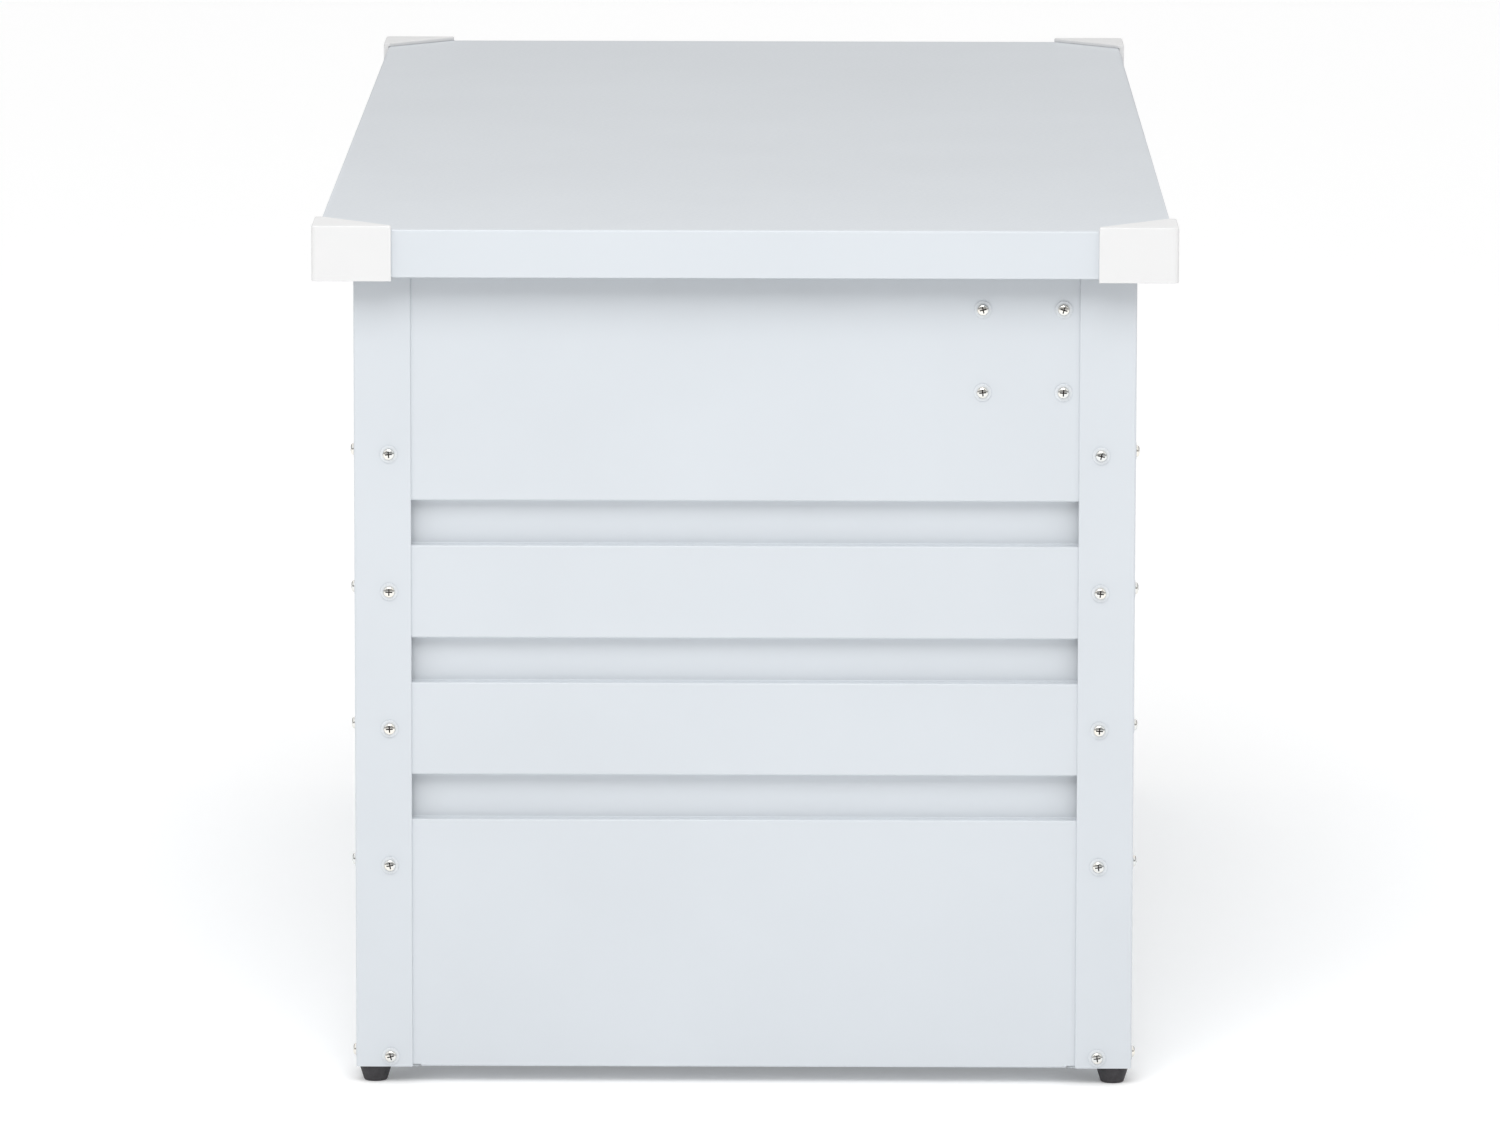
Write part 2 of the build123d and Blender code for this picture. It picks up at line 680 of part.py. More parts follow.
with BuildPart() as lid_bracket:
    with Locations((lid_bracket_face, upper_y, lid_under)):
        Box(
            plate_sheet, bracket_width, lid_under - upper_z + bracket_drop,
            align=(Align.MAX, Align.CENTER, Align.MAX),
        )
        Box(bracket_flange, bracket_width, plate_sheet, align=(Align.MAX, Align.CENTER, Align.MAX))
    fillet(lid_bracket.edges().filter_by(Axis.X).group_by(Axis.Z)[0], plate_sheet)
for side, x_sign in sides.items():
    write_piece(flipped(lid_bracket.part, x_sign, 1), f"{side}_lid_strut_bracket")

with BuildPart() as lid_buffers:
    with Locations(
        *[(x_sign * buffer_spread / 2, long_top_flange / 2 - long_face, lid_under) for x_sign in (-1, 1)]
    ):
        Cylinder(buffer_radius, lid_gap - buffer_gap, align=(Align.CENTER, Align.CENTER, Align.MAX))
write_piece(lid_buffers.part, "lid_buffers")

# ---------------------------------------------------------------- corner caps
cap_x = lid_half_length + cap_wall
cap_y = lid_half_depth + cap_wall
cap_bottom = rim_bottom - cap_drop
return_outer = cap_wall + 2 * lid_sheet_thickness + cap_fit
with BuildPart() as cap:
    # top plate with a slanted inner edge
    with BuildSketch(Plane.XY.offset(cap_bottom)):
        with BuildLine():
            Polyline(
                (cap_x, cap_y), (cap_x, cap_y - cap_leg), (cap_x - cap_straight, cap_y - cap_leg),
                (cap_x - cap_leg, cap_y - cap_straight), (cap_x - cap_leg, cap_y), close=True,
            )
        make_face()
    extrude(amount=lid_top + cap_top - cap_bottom)
    # room for the lid's corner
    with BuildSketch(Plane.XY.offset(cap_bottom + cap_drop)):
        with Locations((cap_x - cap_wall, cap_y - cap_wall)):
            Rectangle(cap_leg, cap_leg, align=Align.MAX)
    extrude(amount=rim_height, mode=Mode.SUBTRACT)
    # the underside is open but for a lip along the two walls
    with BuildSketch(Plane.XY.offset(cap_bottom)):
        with Locations((cap_x - cap_lip, cap_y - cap_lip)):
            Rectangle(cap_leg, cap_leg, align=Align.MAX)
    extrude(amount=cap_drop, mode=Mode.SUBTRACT)
    # the lip carries on along the whole wall and turns up inside the rim
    with BuildSketch(Plane.XY.offset(cap_bottom)):
        with Locations((cap_x, cap_y)):
            Rectangle(cap_leg, cap_leg, align=Align.MAX)
        with Locations((cap_x - cap_lip, cap_y - cap_lip)):
            Rectangle(cap_leg, cap_leg, align=Align.MAX, mode=Mode.SUBTRACT)
    extrude(amount=cap_drop)
    with BuildSketch(Plane.XY.offset(cap_bottom)):
        with Locations((cap_x - return_outer, cap_y - return_outer)):
            Rectangle(cap_leg - return_outer, cap_leg - return_outer, align=Align.MAX)
        with Locations((cap_x - return_outer - cap_return, cap_y - return_outer - cap_return)):
            Rectangle(cap_leg, cap_leg, align=Align.MAX, mode=Mode.SUBTRACT)
    extrude(amount=cap_return_height)
    # walls over the full length of both legs
    with BuildSketch(Plane.XY.offset(cap_bottom)):
        with Locations((cap_x, cap_y)):
            Rectangle(cap_leg, cap_leg, align=Align.MAX)
        with Locations((cap_x - cap_wall, cap_y - cap_wall)):
            Rectangle(cap_leg, cap_leg, align=Align.MAX, mode=Mode.SUBTRACT)
    extrude(amount=lid_top + cap_top - cap_bottom)
    outer_corner = cap.edges().filter_by(Axis.Z).sort_by(lambda edge: edge.center().X + edge.center().Y)[-1]
    fillet(outer_corner, cap_corner_round)
    fillet(cap.faces().sort_by(Axis.Z)[-1].edges(), cap_edge_round)
for corner, (x_sign, y_sign) in corners.items():
    write_piece(flipped(cap.part, x_sign, y_sign), f"{corner}_cap")

# ---------------------------------------------------------------- hinges
knuckle_clear = knuckle_length + 2 * knuckle_gap
with BuildPart() as body_leaf:
    with Locations((0, long_face, leaf_bottom)):
        Box(hinge_width, hinge_sheet, hinge_leaf_height, align=(Align.CENTER, Align.MIN, Align.MIN))
    with BuildSketch(Plane.YZ):
        with Locations((hinge_y, hinge_z)):
            Circle(knuckle_radius)
    extrude(amount=hinge_width / 2, both=True)
    with BuildSketch(Plane.YZ):
        with Locations((hinge_y, hinge_z)):
            Circle(knuckle_bore)
    extrude(amount=hinge_width, both=True, mode=Mode.SUBTRACT)
    # room for the lid leaf's knuckle
    with Locations((0, hinge_y, hinge_z)):
        Box(knuckle_clear, 4 * knuckle_radius, 2 * (knuckle_radius + knuckle_gap), mode=Mode.SUBTRACT)
    with Locations(
        *[facing(s * hinge_screw_spacing / 2, long_face, body_leaf_screw_level, 0, 1) for s in (-1, 1)]
    ):
        Cylinder(screw_hole_radius, 4 * hinge_sheet, mode=Mode.SUBTRACT)

strap_bottom = hinge_z + knuckle_bore
strap_start = hinge_y + knuckle_radius + 2 * knuckle_gap
with BuildPart() as lid_leaf:
    # knuckle, and the strap that leaves its top towards the rim
    with BuildSketch(Plane.YZ):
        with Locations((hinge_y, hinge_z)):
            Circle(knuckle_radius)
        with Locations((hinge_y, strap_bottom)):
            Rectangle(hem_inner - hinge_y, hinge_sheet, align=Align.MIN)
    extrude(amount=knuckle_length / 2, both=True)
    with BuildSketch(Plane.YZ):
        with Locations((hinge_y, hinge_z)):
            Circle(knuckle_bore)
    extrude(amount=hinge_width, both=True, mode=Mode.SUBTRACT)
    # full-width strap and the upright plate against the rim
    with Locations((0, hem_inner, strap_bottom)):
        Box(hinge_width, hem_inner - strap_start, hinge_sheet, align=(Align.CENTER, Align.MAX, Align.MIN))
        Box(
            hinge_width, hinge_sheet, lid_leaf_top - strap_bottom,
            align=(Align.CENTER, Align.MAX, Align.MIN),
        )
    with Locations(
        *[facing(s * hinge_screw_spacing / 2, hem_inner, lid_leaf_screw_level, 0, 1) for s in (-1, 1)]
    ):
        Cylinder(screw_hole_radius, 4 * hinge_sheet, mode=Mode.SUBTRACT)

with BuildPart() as hinge_pin:
    with BuildSketch(Plane.YZ.offset(-hinge_width / 2 - pin_head)):
        with Locations((hinge_y, hinge_z)):
            Circle(knuckle_radius)
    extrude(amount=pin_head)
    with BuildSketch(Plane.YZ.offset(hinge_width / 2)):
        with Locations((hinge_y, hinge_z)):
            Circle(knuckle_radius)
    extrude(amount=pin_head)
    with BuildSketch(Plane.YZ.offset(-hinge_width / 2)):
        with Locations((hinge_y, hinge_z)):
            Circle(pin_radius)
    extrude(amount=hinge_width)

for place_name, place in hinge_places.items():
    write_piece(Location((place, 0, 0)) * body_leaf.part, f"{place_name}_hinge_body_leaf")
    write_piece(Location((place, 0, 0)) * lid_leaf.part, f"{place_name}_hinge_lid_leaf")
    write_piece(Location((place, 0, 0)) * hinge_pin.part, f"{place_name}_hinge_pin")

with BuildPart() as lid_screws:
    with Locations(*lid_leaf_places):
        add(screw)
write_piece(lid_screws.part, "lid_screws")
lid_stack = lid_half_depth - hem_inner + hinge_sheet
with BuildPart() as lid_nuts:
    with Locations(*[place * Location((0, 0, -lid_stack)) for place in lid_leaf_places]):
        add(nut)
write_piece(lid_nuts.part, "lid_nuts")
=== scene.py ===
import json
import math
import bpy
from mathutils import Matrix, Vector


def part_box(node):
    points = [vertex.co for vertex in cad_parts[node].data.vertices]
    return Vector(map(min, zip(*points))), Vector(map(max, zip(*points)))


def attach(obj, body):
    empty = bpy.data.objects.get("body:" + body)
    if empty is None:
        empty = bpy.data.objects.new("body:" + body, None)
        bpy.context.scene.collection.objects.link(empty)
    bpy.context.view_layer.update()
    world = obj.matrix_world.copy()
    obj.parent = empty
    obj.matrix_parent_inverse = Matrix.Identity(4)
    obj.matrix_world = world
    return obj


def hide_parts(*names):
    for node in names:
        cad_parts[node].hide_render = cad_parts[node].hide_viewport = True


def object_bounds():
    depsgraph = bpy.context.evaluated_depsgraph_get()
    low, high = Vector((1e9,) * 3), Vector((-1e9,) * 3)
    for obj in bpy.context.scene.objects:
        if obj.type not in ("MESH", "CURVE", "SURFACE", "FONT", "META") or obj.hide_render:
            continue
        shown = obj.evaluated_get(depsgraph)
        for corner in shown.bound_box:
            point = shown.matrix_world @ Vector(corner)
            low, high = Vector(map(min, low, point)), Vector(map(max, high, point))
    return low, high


bl_info = {
    "name": "Steel Garden Storage Box",
    "version": (1, 0, 0),
    "blender": (4, 5, 0),
    "location": "3D View > Sidebar > Storage Box",
    "description": "Dresses a folded steel storage box with its sheet, caps, fasteners and finishes",
    "category": "Object",
}

import bmesh
import bpy
from bpy.props import FloatProperty, FloatVectorProperty, IntProperty, PointerProperty
from mathutils import Matrix, Quaternion, Vector

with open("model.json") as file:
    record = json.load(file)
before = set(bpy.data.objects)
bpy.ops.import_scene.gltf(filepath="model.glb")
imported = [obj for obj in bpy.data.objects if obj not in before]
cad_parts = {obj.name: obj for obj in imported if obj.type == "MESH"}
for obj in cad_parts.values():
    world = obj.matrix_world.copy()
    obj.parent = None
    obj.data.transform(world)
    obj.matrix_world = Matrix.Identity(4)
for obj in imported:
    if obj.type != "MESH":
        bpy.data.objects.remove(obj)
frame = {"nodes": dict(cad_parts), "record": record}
cad_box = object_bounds()
home = {
    node: body for body, nodes in frame["record"]["behaviour"]["bodies"].items() for node in nodes
}

mm = 0.001
SIDES = {"left": -1, "right": 1}
CORNERS = {"front_left": (-1, -1), "front_right": (1, -1), "back_left": (-1, 1), "back_right": (1, 1)}
HEM_GAP = 0.1 * mm  # between the two layers of a hem
HEM_BEND = 0.05 * mm  # inside radius of a fold that is pressed shut


# ------------------------------------------------------------------ sizes and colours
def linear(hex_colour):
    """An sRGB hex colour as linear red, green, blue."""
    shares = [int(hex_colour[start:start + 2], 16) / 255 for start in (0, 2, 4)]
    return tuple(s / 12.92 if s <= 0.04045 else ((s + 0.055) / 1.055) ** 2.4 for s in shares)


def length(name, millimetres, description):
    """A size property in metres, given in millimetres."""
    return FloatProperty(
        name=name, description=description, default=millimetres * mm, min=0.0, precision=5, unit="LENGTH"
    )


def colour(name, hex_colour, description):
    """A colour property, given as sRGB hex."""
    return FloatVectorProperty(
        name=name, description=description, default=linear(hex_colour), min=0.0, max=1.0,
        size=3, subtype="COLOR",
    )


def angle(name, degrees, description):
    """An angle property, given in degrees."""
    return FloatProperty(name=name, description=description, default=math.radians(degrees), subtype="ANGLE")


def level(name, value, description):
    """A property for a plain number that is never negative."""
    return FloatProperty(name=name, description=description, default=value, min=0.0)


class BodySizes(bpy.types.PropertyGroup):
    panel_sheet: length("Panel sheet", 0.6, "Thickness of the panels' and floor's steel")
    post_sheet: length("Post sheet", 0.75, "Thickness of the corner posts' steel")
    bend: length("Bend radius", 1.0, "Inside radius of the folds")
    top_plank: length("Top plank", 190.6, "Height of the panel above its first groove")
    groove_pitch: length("Groove pitch", 100.2, "Distance from one groove to the next")
    groove_height: length("Groove height", 32.4, "Height of each groove")
    groove_depth: length("Groove depth", 10.0, "How far a groove lies behind the panel's face")
    groove_count: IntProperty(name="Grooves", description="Grooves in each panel", default=3, min=0, max=5)
    end_flange: length("End top flange", 9.0, "Top flange of an end panel")
    long_flange: length("Long top flange", 18.0, "Top flange of the front and back panels")
    long_lip: length("Top lip", 8.0, "Turned-down lip of the front and back panels")
    bottom_flange: length("Bottom flange", 20.0, "Bottom flange that the floor lies on")
    flange_notch: length("Flange notch", 33.2, "How far the flanges stop short of a panel's end")
    hem: length("Post hem", 6.0, "Folded-back edge of a corner post")
    post_width: length("Post width", 41.0, "Width of each leg of a corner post")
    bead_foot: length("Bead foot", 24.0, "Width of a floor bead where it leaves the floor")
    bead_crown: length("Bead crown", 16.0, "Width of a floor bead's flat top")
    bead_bend: length("Bead bend", 1.5, "Inside radius of the floor beads' folds")
    floor_notch: length("Floor notch", 45.0, "Floor cut away round each foot bracket")
    rail_edge: length("Floor rail edge", 0.15, "Rounding of the floor rail's edges")
    bracket_edge: length("Bracket edge", 0.3, "Rounding of the foot brackets' edges")


class LidSizes(bpy.types.PropertyGroup):
    sheet: length("Lid sheet", 0.55, "Thickness of the lid's steel")
    bend: length("Lid bend radius", 1.0, "Inside radius of the lid's folds")
    hem: length("Rim hem", 7.0, "Height of the rim's folded-up edge")
    rail_sheet: length("Rail sheet", 0.6, "Thickness of a stiffening rail under the lid")
    rail_bend: length("Rail bend", 0.8, "Inside radius of a stiffening rail's folds")
    rail_flange: length("Rail flange", 14.0, "Flange of a stiffening rail under the lid")
    cap_edge: length("Cap edge", 0.5, "Rounding of the corner caps' edges")
    buffer_edge: length("Buffer edge", 1.2, "Rounding of the rubber buffers' edges")


class FastenerSizes(bpy.types.PropertyGroup):
    head_radius: length("Head radius", 4.3, "Radius of a screw's pan head")
    head_height: length("Head height", 2.5, "Height of a screw's pan head")
    shank_radius: length("Shank radius", 2.0, "Radius over a screw's thread")
    bolt_head_radius: length("Bolt head radius", 4.6, "Radius of a foot bolt's head")
    bolt_head_height: length("Bolt head height", 3.0, "Height of a foot bolt's head")
    bolt_radius: length("Bolt radius", 2.5, "Radius over a foot bolt's thread")
    washer_radius: length("Washer radius", 6.3, "Outer radius of a washer")
    washer_bore: length("Washer bore", 2.1, "Radius of a washer's hole")
    washer_height: length("Washer height", 1.0, "Thickness of a washer")
    nut_width: length("Nut width", 7.0, "Across the flats of a screw's nut")
    nut_height: length("Nut height", 3.2, "Height of a screw's nut")
    foot_nut_width: length("Foot nut width", 8.0, "Across the flats of a foot bolt's nut")
    foot_nut_height: length("Foot nut height", 4.0, "Height of a foot bolt's nut")
    thread_pitch: length("Thread pitch", 0.7, "Pitch of the screws' thread")
    thread_depth: length("Thread depth", 0.35, "Depth of the screws' thread")
    recess_length: length("Recess length", 5.8, "Length of the cross recess over its arms")
    recess_width: length("Recess width", 1.0, "Width of each arm of the cross recess")
    recess_depth: length("Recess depth", 1.9, "Depth of the cross recess")
    turn_spread: angle("Turn spread", 18.0, "How far the screws' crosses differ from upright")
    turn_seed: IntProperty(name="Turn seed", description="Picks each screw's turn", default=7)


class FinishColours(bpy.types.PropertyGroup):
    paint: colour("Powder coat", "CED3D8", "Paint of the sheet steel")
    cap: colour("Corner caps", "DEDEDE", "Plastic of the corner caps")
    rubber: colour("Rubber", "323033", "Rubber of the feet and buffers")
    nylon: colour("Washer nylon", "D6DADE", "Plastic of the washers")
    zinc: colour("Zinc plating", "DCDEDD", "Plating of the screws and nuts")
    zinc_tint: colour("Plating tint", "EDE8DE", "Faint warm tint in the plating")
    # painted shade: this dark colour is laid into the screws' recesses to stand for the shade inside the
    # cross
    recess: colour("Recess", "353030", "Wax and dust in the screws' recesses")
    bracket: colour("Galvanised sheet", "B9BEC2", "Zinc coat of brackets and hinges")
    stud: colour("Turned steel", "A9ABAD", "Steel of the ball studs")
    socket: colour("Socket plastic", "1F2022", "Plastic of the ball sockets")
    tube: colour("Tube enamel", "17181A", "Enamel of the gas strut tubes")
    chrome: colour("Chrome", "E4E6E8", "Plating of the piston rods")
    ground: colour("Floor", "FBFBFB", "Studio floor")


class StageSettings(bpy.types.PropertyGroup):
    camera_distance: length("Camera distance", 7810.4, "From the box's middle, along the box")
    camera_aside: length("Camera aside", 39.9, "Towards the back of the box")
    camera_height: length("Camera height", 1503.2, "Above the floor")
    lens: level("Lens", 242.1, "Focal length in millimetres")
    tilt: angle("Tilt", 8.868, "Camera tilt below level")
    swing: angle("Swing", 0.288, "Camera swing towards the box's front")
    roll: angle("Roll", 0.111, "Camera roll, right side down")
    sky: level("Sky light", 0.36, "Even light from all round")
    key: level("Key", 51.0, "Softbox beyond the right-hand end, in watts")
    key_size: level("Key size", 1.9, "Side of the softbox in metres")
    wash: level("Wash", 0.72, "Each broad overhead lamp")
    wash_spread: angle("Wash spread", 70.0, "How broad each overhead lamp is")
    floor_glow: level("Floor glow", 0.14, "Light through the floor")


# ------------------------------------------------------------------ node helper and finishes
def add_node(tree, kind, inputs=(), **settings):
    """Add a node with its settings and links.

    inputs maps a socket's name or number to what it gets, or lists that for the first sockets: a
    value, a socket, a node, which stands for its first output, or a list of these.
    """
    made = tree.nodes.new(kind)
    for name, value in settings.items():
        setattr(made, name, value)
    for socket, value in inputs.items() if isinstance(inputs, dict) else enumerate(inputs):
        for source in value if isinstance(value, list) else [value]:
            if isinstance(source, bpy.types.Node):
                source = source.outputs[0]
            if isinstance(source, bpy.types.NodeSocket):
                tree.links.new(source, made.inputs[socket])
            else:
                made.inputs[socket].default_value = source
    return made


def surface(name, colours, patch, gloss, grain, relief, wave=None, **fixed):
    """A material with the three things that every finish has: tone, gloss and relief.

    colours are two linear colours that meet in patches of size patch; gloss is the least and the
    most roughness; grain is the size of the fine relief and relief its depth; wave is a second
    (size, depth); fixed gives shader inputs that are the same all over.
    """
    made = bpy.data.materials.new(name)
    made.use_nodes = True
    tree = made.node_tree
    shader = tree.nodes["Principled BSDF"]
    place = add_node(tree, "ShaderNodeTexCoord").outputs["Object"]
    tone = add_node(tree, "ShaderNodeTexNoise", {"Vector": place, "Scale": 1 / patch, "Detail": 3.0})
    spread = add_node(tree, "ShaderNodeMapRange", (tone, 0.35, 0.65))
    mixed = add_node(
        tree, "ShaderNodeMix", {0: spread, 6: (*colours[0], 1), 7: (*colours[1], 1)}, data_type="RGBA"
    )
    fine = add_node(tree, "ShaderNodeTexNoise", {"Vector": place, "Scale": 1 / grain, "Detail": 2.0})
    rough = add_node(tree, "ShaderNodeMapRange", (fine, 0.3, 0.7, *gloss))
    bump = add_node(tree, "ShaderNodeBump", {"Height": fine, "Strength": 1.0, "Distance": relief})
    if wave:
        size, depth = wave
        slow = add_node(tree, "ShaderNodeTexNoise", {"Vector": place, "Scale": 1 / size, "Detail": 1.0})
        bump = add_node(
            tree, "ShaderNodeBump", {"Height": slow, "Strength": 1.0, "Distance": depth, "Normal": bump}
        )
    tree.links.new(mixed.outputs[2], shader.inputs["Base Color"])
    tree.links.new(rough.outputs[0], shader.inputs["Roughness"])
    tree.links.new(bump.outputs[0], shader.inputs["Normal"])
    for socket, value in fixed.items():
        shader.inputs[socket.replace("_", " ")].default_value = value
    return made


def toned(base, *shares):
    """A colour made lighter or darker by each share."""
    return [tuple(min(1.0, part * share) for part in base) for share in shares]


def powder_coat(name, shades):
    # Polyester powder coat on folded steel sheet: a satin skin. Its orange peel is 1 to 2 mm in
    # life and is drawn at 3 mm so that it shows; the thin sheet is faintly wavy over 250 mm.
    return surface(
        name, toned(shades.paint, 0.985, 1.012), patch=180 * mm, gloss=(0.28, 0.36), grain=3 * mm,
        relief=0.012 * mm, wave=(250 * mm, 0.25 * mm), IOR=1.5,
    )


def moulded_polypropylene(name, shades):
    # Injection-moulded white polypropylene: an even matt skin that lets a little light in. The
    # mould's grit is finer in life and is drawn at 0.9 mm so that it shows.
    return surface(
        name, toned(shades.cap, 0.99, 1.0), patch=40 * mm, gloss=(0.42, 0.5), grain=0.9 * mm,
        relief=0.01 * mm, IOR=1.49, Subsurface_Weight=0.08, Subsurface_Radius=(1.0, 1.0, 1.0),
        Subsurface_Scale=1.5 * mm,
    )


def moulded_rubber(name, shades):
    # Moulded EPDM rubber: near-black and dull, with a slightly bloomed skin. Its grain is finer in
    # life and is drawn at 0.8 mm so that it shows.
    return surface(
        name, toned(shades.rubber, 0.8, 1.3), patch=4 * mm, gloss=(0.6, 0.78), grain=0.8 * mm,
        relief=0.05 * mm, IOR=1.52,
    )


def moulded_nylon(name, shades):
    # Natural nylon washer: milky, a little see-through, with a smooth moulded face.
    return surface(
        name, toned(shades.nylon, 0.96, 1.03), patch=5 * mm, gloss=(0.22, 0.34), grain=1 * mm,
        relief=0.01 * mm, IOR=1.53, Subsurface_Weight=0.3, Subsurface_Radius=(1.0, 1.0, 1.0),
        Subsurface_Scale=1.0 * mm,
    )


def bright_zinc(name, shades):
    # Bright zinc-plated steel: mirror-like, with a faint straw tint where the plating is thin. Its
    # unevenness is finer in life and is drawn at 0.8 mm so that it shows.
    made = surface(
        name, (shades.zinc, shades.zinc_tint), patch=9 * mm, gloss=(0.1, 0.2), grain=0.8 * mm,
        relief=0.006 * mm, Metallic=1.0,
    )
    # painted shade: the faces marked as a screw's recess are mixed to the dark recess colour, which stands
    # for the shade inside the cross
    tree = made.node_tree
    skin = tree.nodes["Principled BSDF"].inputs["Base Color"]
    recess = add_node(tree, "ShaderNodeAttribute", attribute_name="recess")
    sunk = add_node(
        tree, "ShaderNodeMix",
        {0: recess.outputs["Fac"], 6: skin.links[0].from_socket, 7: (*shades.recess, 1)}, data_type="RGBA",
    )
    tree.links.new(sunk.outputs[2], skin)
    return made


def galvanised_sheet(name, shades):
    # Electro-galvanised steel plate: dull silver with a soft mottle and fine rolling marks.
    return surface(
        name, toned(shades.bracket, 0.86, 1.08), patch=6 * mm, gloss=(0.32, 0.46), grain=1.2 * mm,
        relief=0.012 * mm, Metallic=1.0,
    )


def turned_steel(name, shades):
    # Turned free-cutting steel: clean grey metal with a satin tool finish. The tool's marks are
    # finer in life and are drawn at 0.5 mm so that they show.
    return surface(
        name, toned(shades.stud, 0.92, 1.08), patch=3 * mm, gloss=(0.22, 0.34), grain=0.5 * mm,
        relief=0.006 * mm, Metallic=1.0,
    )


def glass_filled_nylon(name, shades):
    # Glass-filled nylon ball socket: black, with the dull swirl of its fibres.
    return surface(
        name, toned(shades.socket, 0.85, 1.35), patch=3 * mm, gloss=(0.45, 0.6), grain=0.7 * mm,
        relief=0.02 * mm, IOR=1.53,
    )


def stoved_enamel(name, shades):
    # Black stoved enamel on the strut's drawn tube: glossy, with a slight orange peel.
    return surface(
        name, toned(shades.tube, 0.9, 1.15), patch=25 * mm, gloss=(0.2, 0.3), grain=1.5 * mm,
        relief=0.01 * mm, IOR=1.5,
    )


def hard_chrome(name, shades):
    # Ground and hard-chromed piston rod: very smooth. The haze of its grinding is far finer in
    # life and is drawn at 0.4 mm so that it shows.
    return surface(
        name, toned(shades.chrome, 0.96, 1.02), patch=8 * mm, gloss=(0.07, 0.14), grain=0.4 * mm,
        relief=0.002 * mm, Metallic=1.0,
    )


FINISHES = {
    "grey_paint": ("Powder-coated steel", powder_coat),
    "cap_plastic": ("Moulded polypropylene", moulded_polypropylene),
    "foot_rubber": ("Moulded rubber", moulded_rubber),
    "washer_nylon": ("Moulded nylon", moulded_nylon),
    "zinc_steel": ("Bright zinc plating", bright_zinc),
    "bracket_zinc": ("Galvanised sheet", galvanised_sheet),
    "stud_steel": ("Turned steel", turned_steel),
    "socket_plastic": ("Glass-filled nylon", glass_filled_nylon),
    "tube_paint": ("Stoved enamel", stoved_enamel),
    "rod_chrome": ("Hard chrome", hard_chrome),
}


def finish_for(slot):
    """The material of a slot, made the first time it is asked for."""
    name, make = FINISHES[slot]
    return bpy.data.materials.get(name) or make(name, bpy.context.scene.box_colours)


# ------------------------------------------------------------------ mesh helpers
def new_piece(name, bm):
    """An object at the origin that holds a closed mesh, its faces outwards."""
    bmesh.ops.delete(bm, geom=[v for v in bm.verts if not v.link_faces], context="VERTS")
    bmesh.ops.remove_doubles(bm, verts=bm.verts, dist=1e-6)
    bmesh.ops.dissolve_degenerate(bm, dist=1e-7, edges=bm.edges)
    bmesh.ops.recalc_face_normals(bm, faces=bm.faces)
    mesh = bpy.data.meshes.new(name)
    bm.to_mesh(mesh)
    bm.free()
    piece = bpy.data.objects.new(name, mesh)
    bpy.context.scene.collection.objects.link(piece)
    return piece


def plain_mesh(piece):
    """Replace a piece's modifiers by the mesh they give."""
    evaluated = piece.evaluated_get(bpy.context.evaluated_depsgraph_get())
    piece.data = bpy.data.meshes.new_from_object(evaluated)
    piece.data.name = piece.name
    piece.modifiers.clear()


def fit_out(piece, nodes, slot, crease=35):
    """Smooth a finished piece, give it its finish, and stand it for its CAD nodes on their body."""
    piece.data.shade_smooth()
    piece.data.set_sharp_from_angle(angle=math.radians(crease))
    flats = piece.modifiers.new("Flat faces stay flat", "WEIGHTED_NORMAL")
    flats.keep_sharp = True
    flats.weight = 100
    plain_mesh(piece)
    piece.data.materials.clear()
    piece.data.materials.append(finish_for(slot))
    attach(piece, home[nodes[0]])
    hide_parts(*nodes)


def fold_strip(path, sheet, side, bends, steps=4):
    """Point pairs (face, back) across a sheet folded along path, with each cell's place on the path.

    side is 1 where the sheet lies left of the path and -1 where it lies right; bends are the inner
    radii at the path's inner points. A cell on a straight run has the run's number, and one in the
    bend before run n has n - 0.5.
    """
    points = [Vector(point) for point in path]
    ways = [(b - a).normalized() for a, b in zip(points, points[1:])]
    lefts = [Vector((-way.y, way.x)) for way in ways]
    pairs = [(points[0], points[0] + side * sheet * lefts[0])]
    runs = []
    for number in range(1, len(points) - 1):
        before, after = lefts[number - 1], lefts[number]
        turn = ways[number - 1].cross(ways[number])
        angle = math.atan2(abs(turn), ways[number - 1].dot(ways[number]))
        way = 1 if turn > 0 else -1
        near, far = bends[number - 1], bends[number - 1] + sheet
        face_radius, back_radius = (far, near) if way == side else (near, far)
        centre = points[number] + (before + after) * way * face_radius / (1 + before.dot(after))
        runs.append(number - 1)
        for step in range(steps + 1):
            out = Matrix.Rotation(way * angle * step / steps, 2) @ (-way * before)
            pairs.append((centre + out * face_radius, centre + out * back_radius))
            if step:
                runs.append(number - 0.5)
    runs.append(len(points) - 2)
    pairs.append((points[-1], points[-1] + side * sheet * lefts[-1]))
    return pairs, runs


def folded_sheet(name, strip, stations, place, present=lambda run, span: True):
    """A strip drawn out along its stations; present says which cells of it hold steel."""
    pairs, runs = strip
    bm = bmesh.new()
    rows = [
        [[bm.verts.new(place(along, point)) for point in pair] for pair in pairs] for along in stations
    ]
    cells = {
        (number, span)
        for number in range(len(runs))
        for span in range(len(stations) - 1)
        if present(runs[number], span)
    }
    for number, span in sorted(cells):
        (a, e), (b, f) = rows[span][number], rows[span][number + 1]
        (d, h), (c, g) = rows[span + 1][number], rows[span + 1][number + 1]
        faces = [(a, b, c, d), (e, h, g, f)]
        walls = {
            (number - 1, span): (a, d, h, e),
            (number + 1, span): (b, f, g, c),
            (number, span - 1): (a, e, f, b),
            (number, span + 1): (d, c, g, h),
        }
        faces += [wall for cell, wall in walls.items() if cell not in cells]
        for face in faces:
            bm.faces.new(face)
    return new_piece(name, bm)


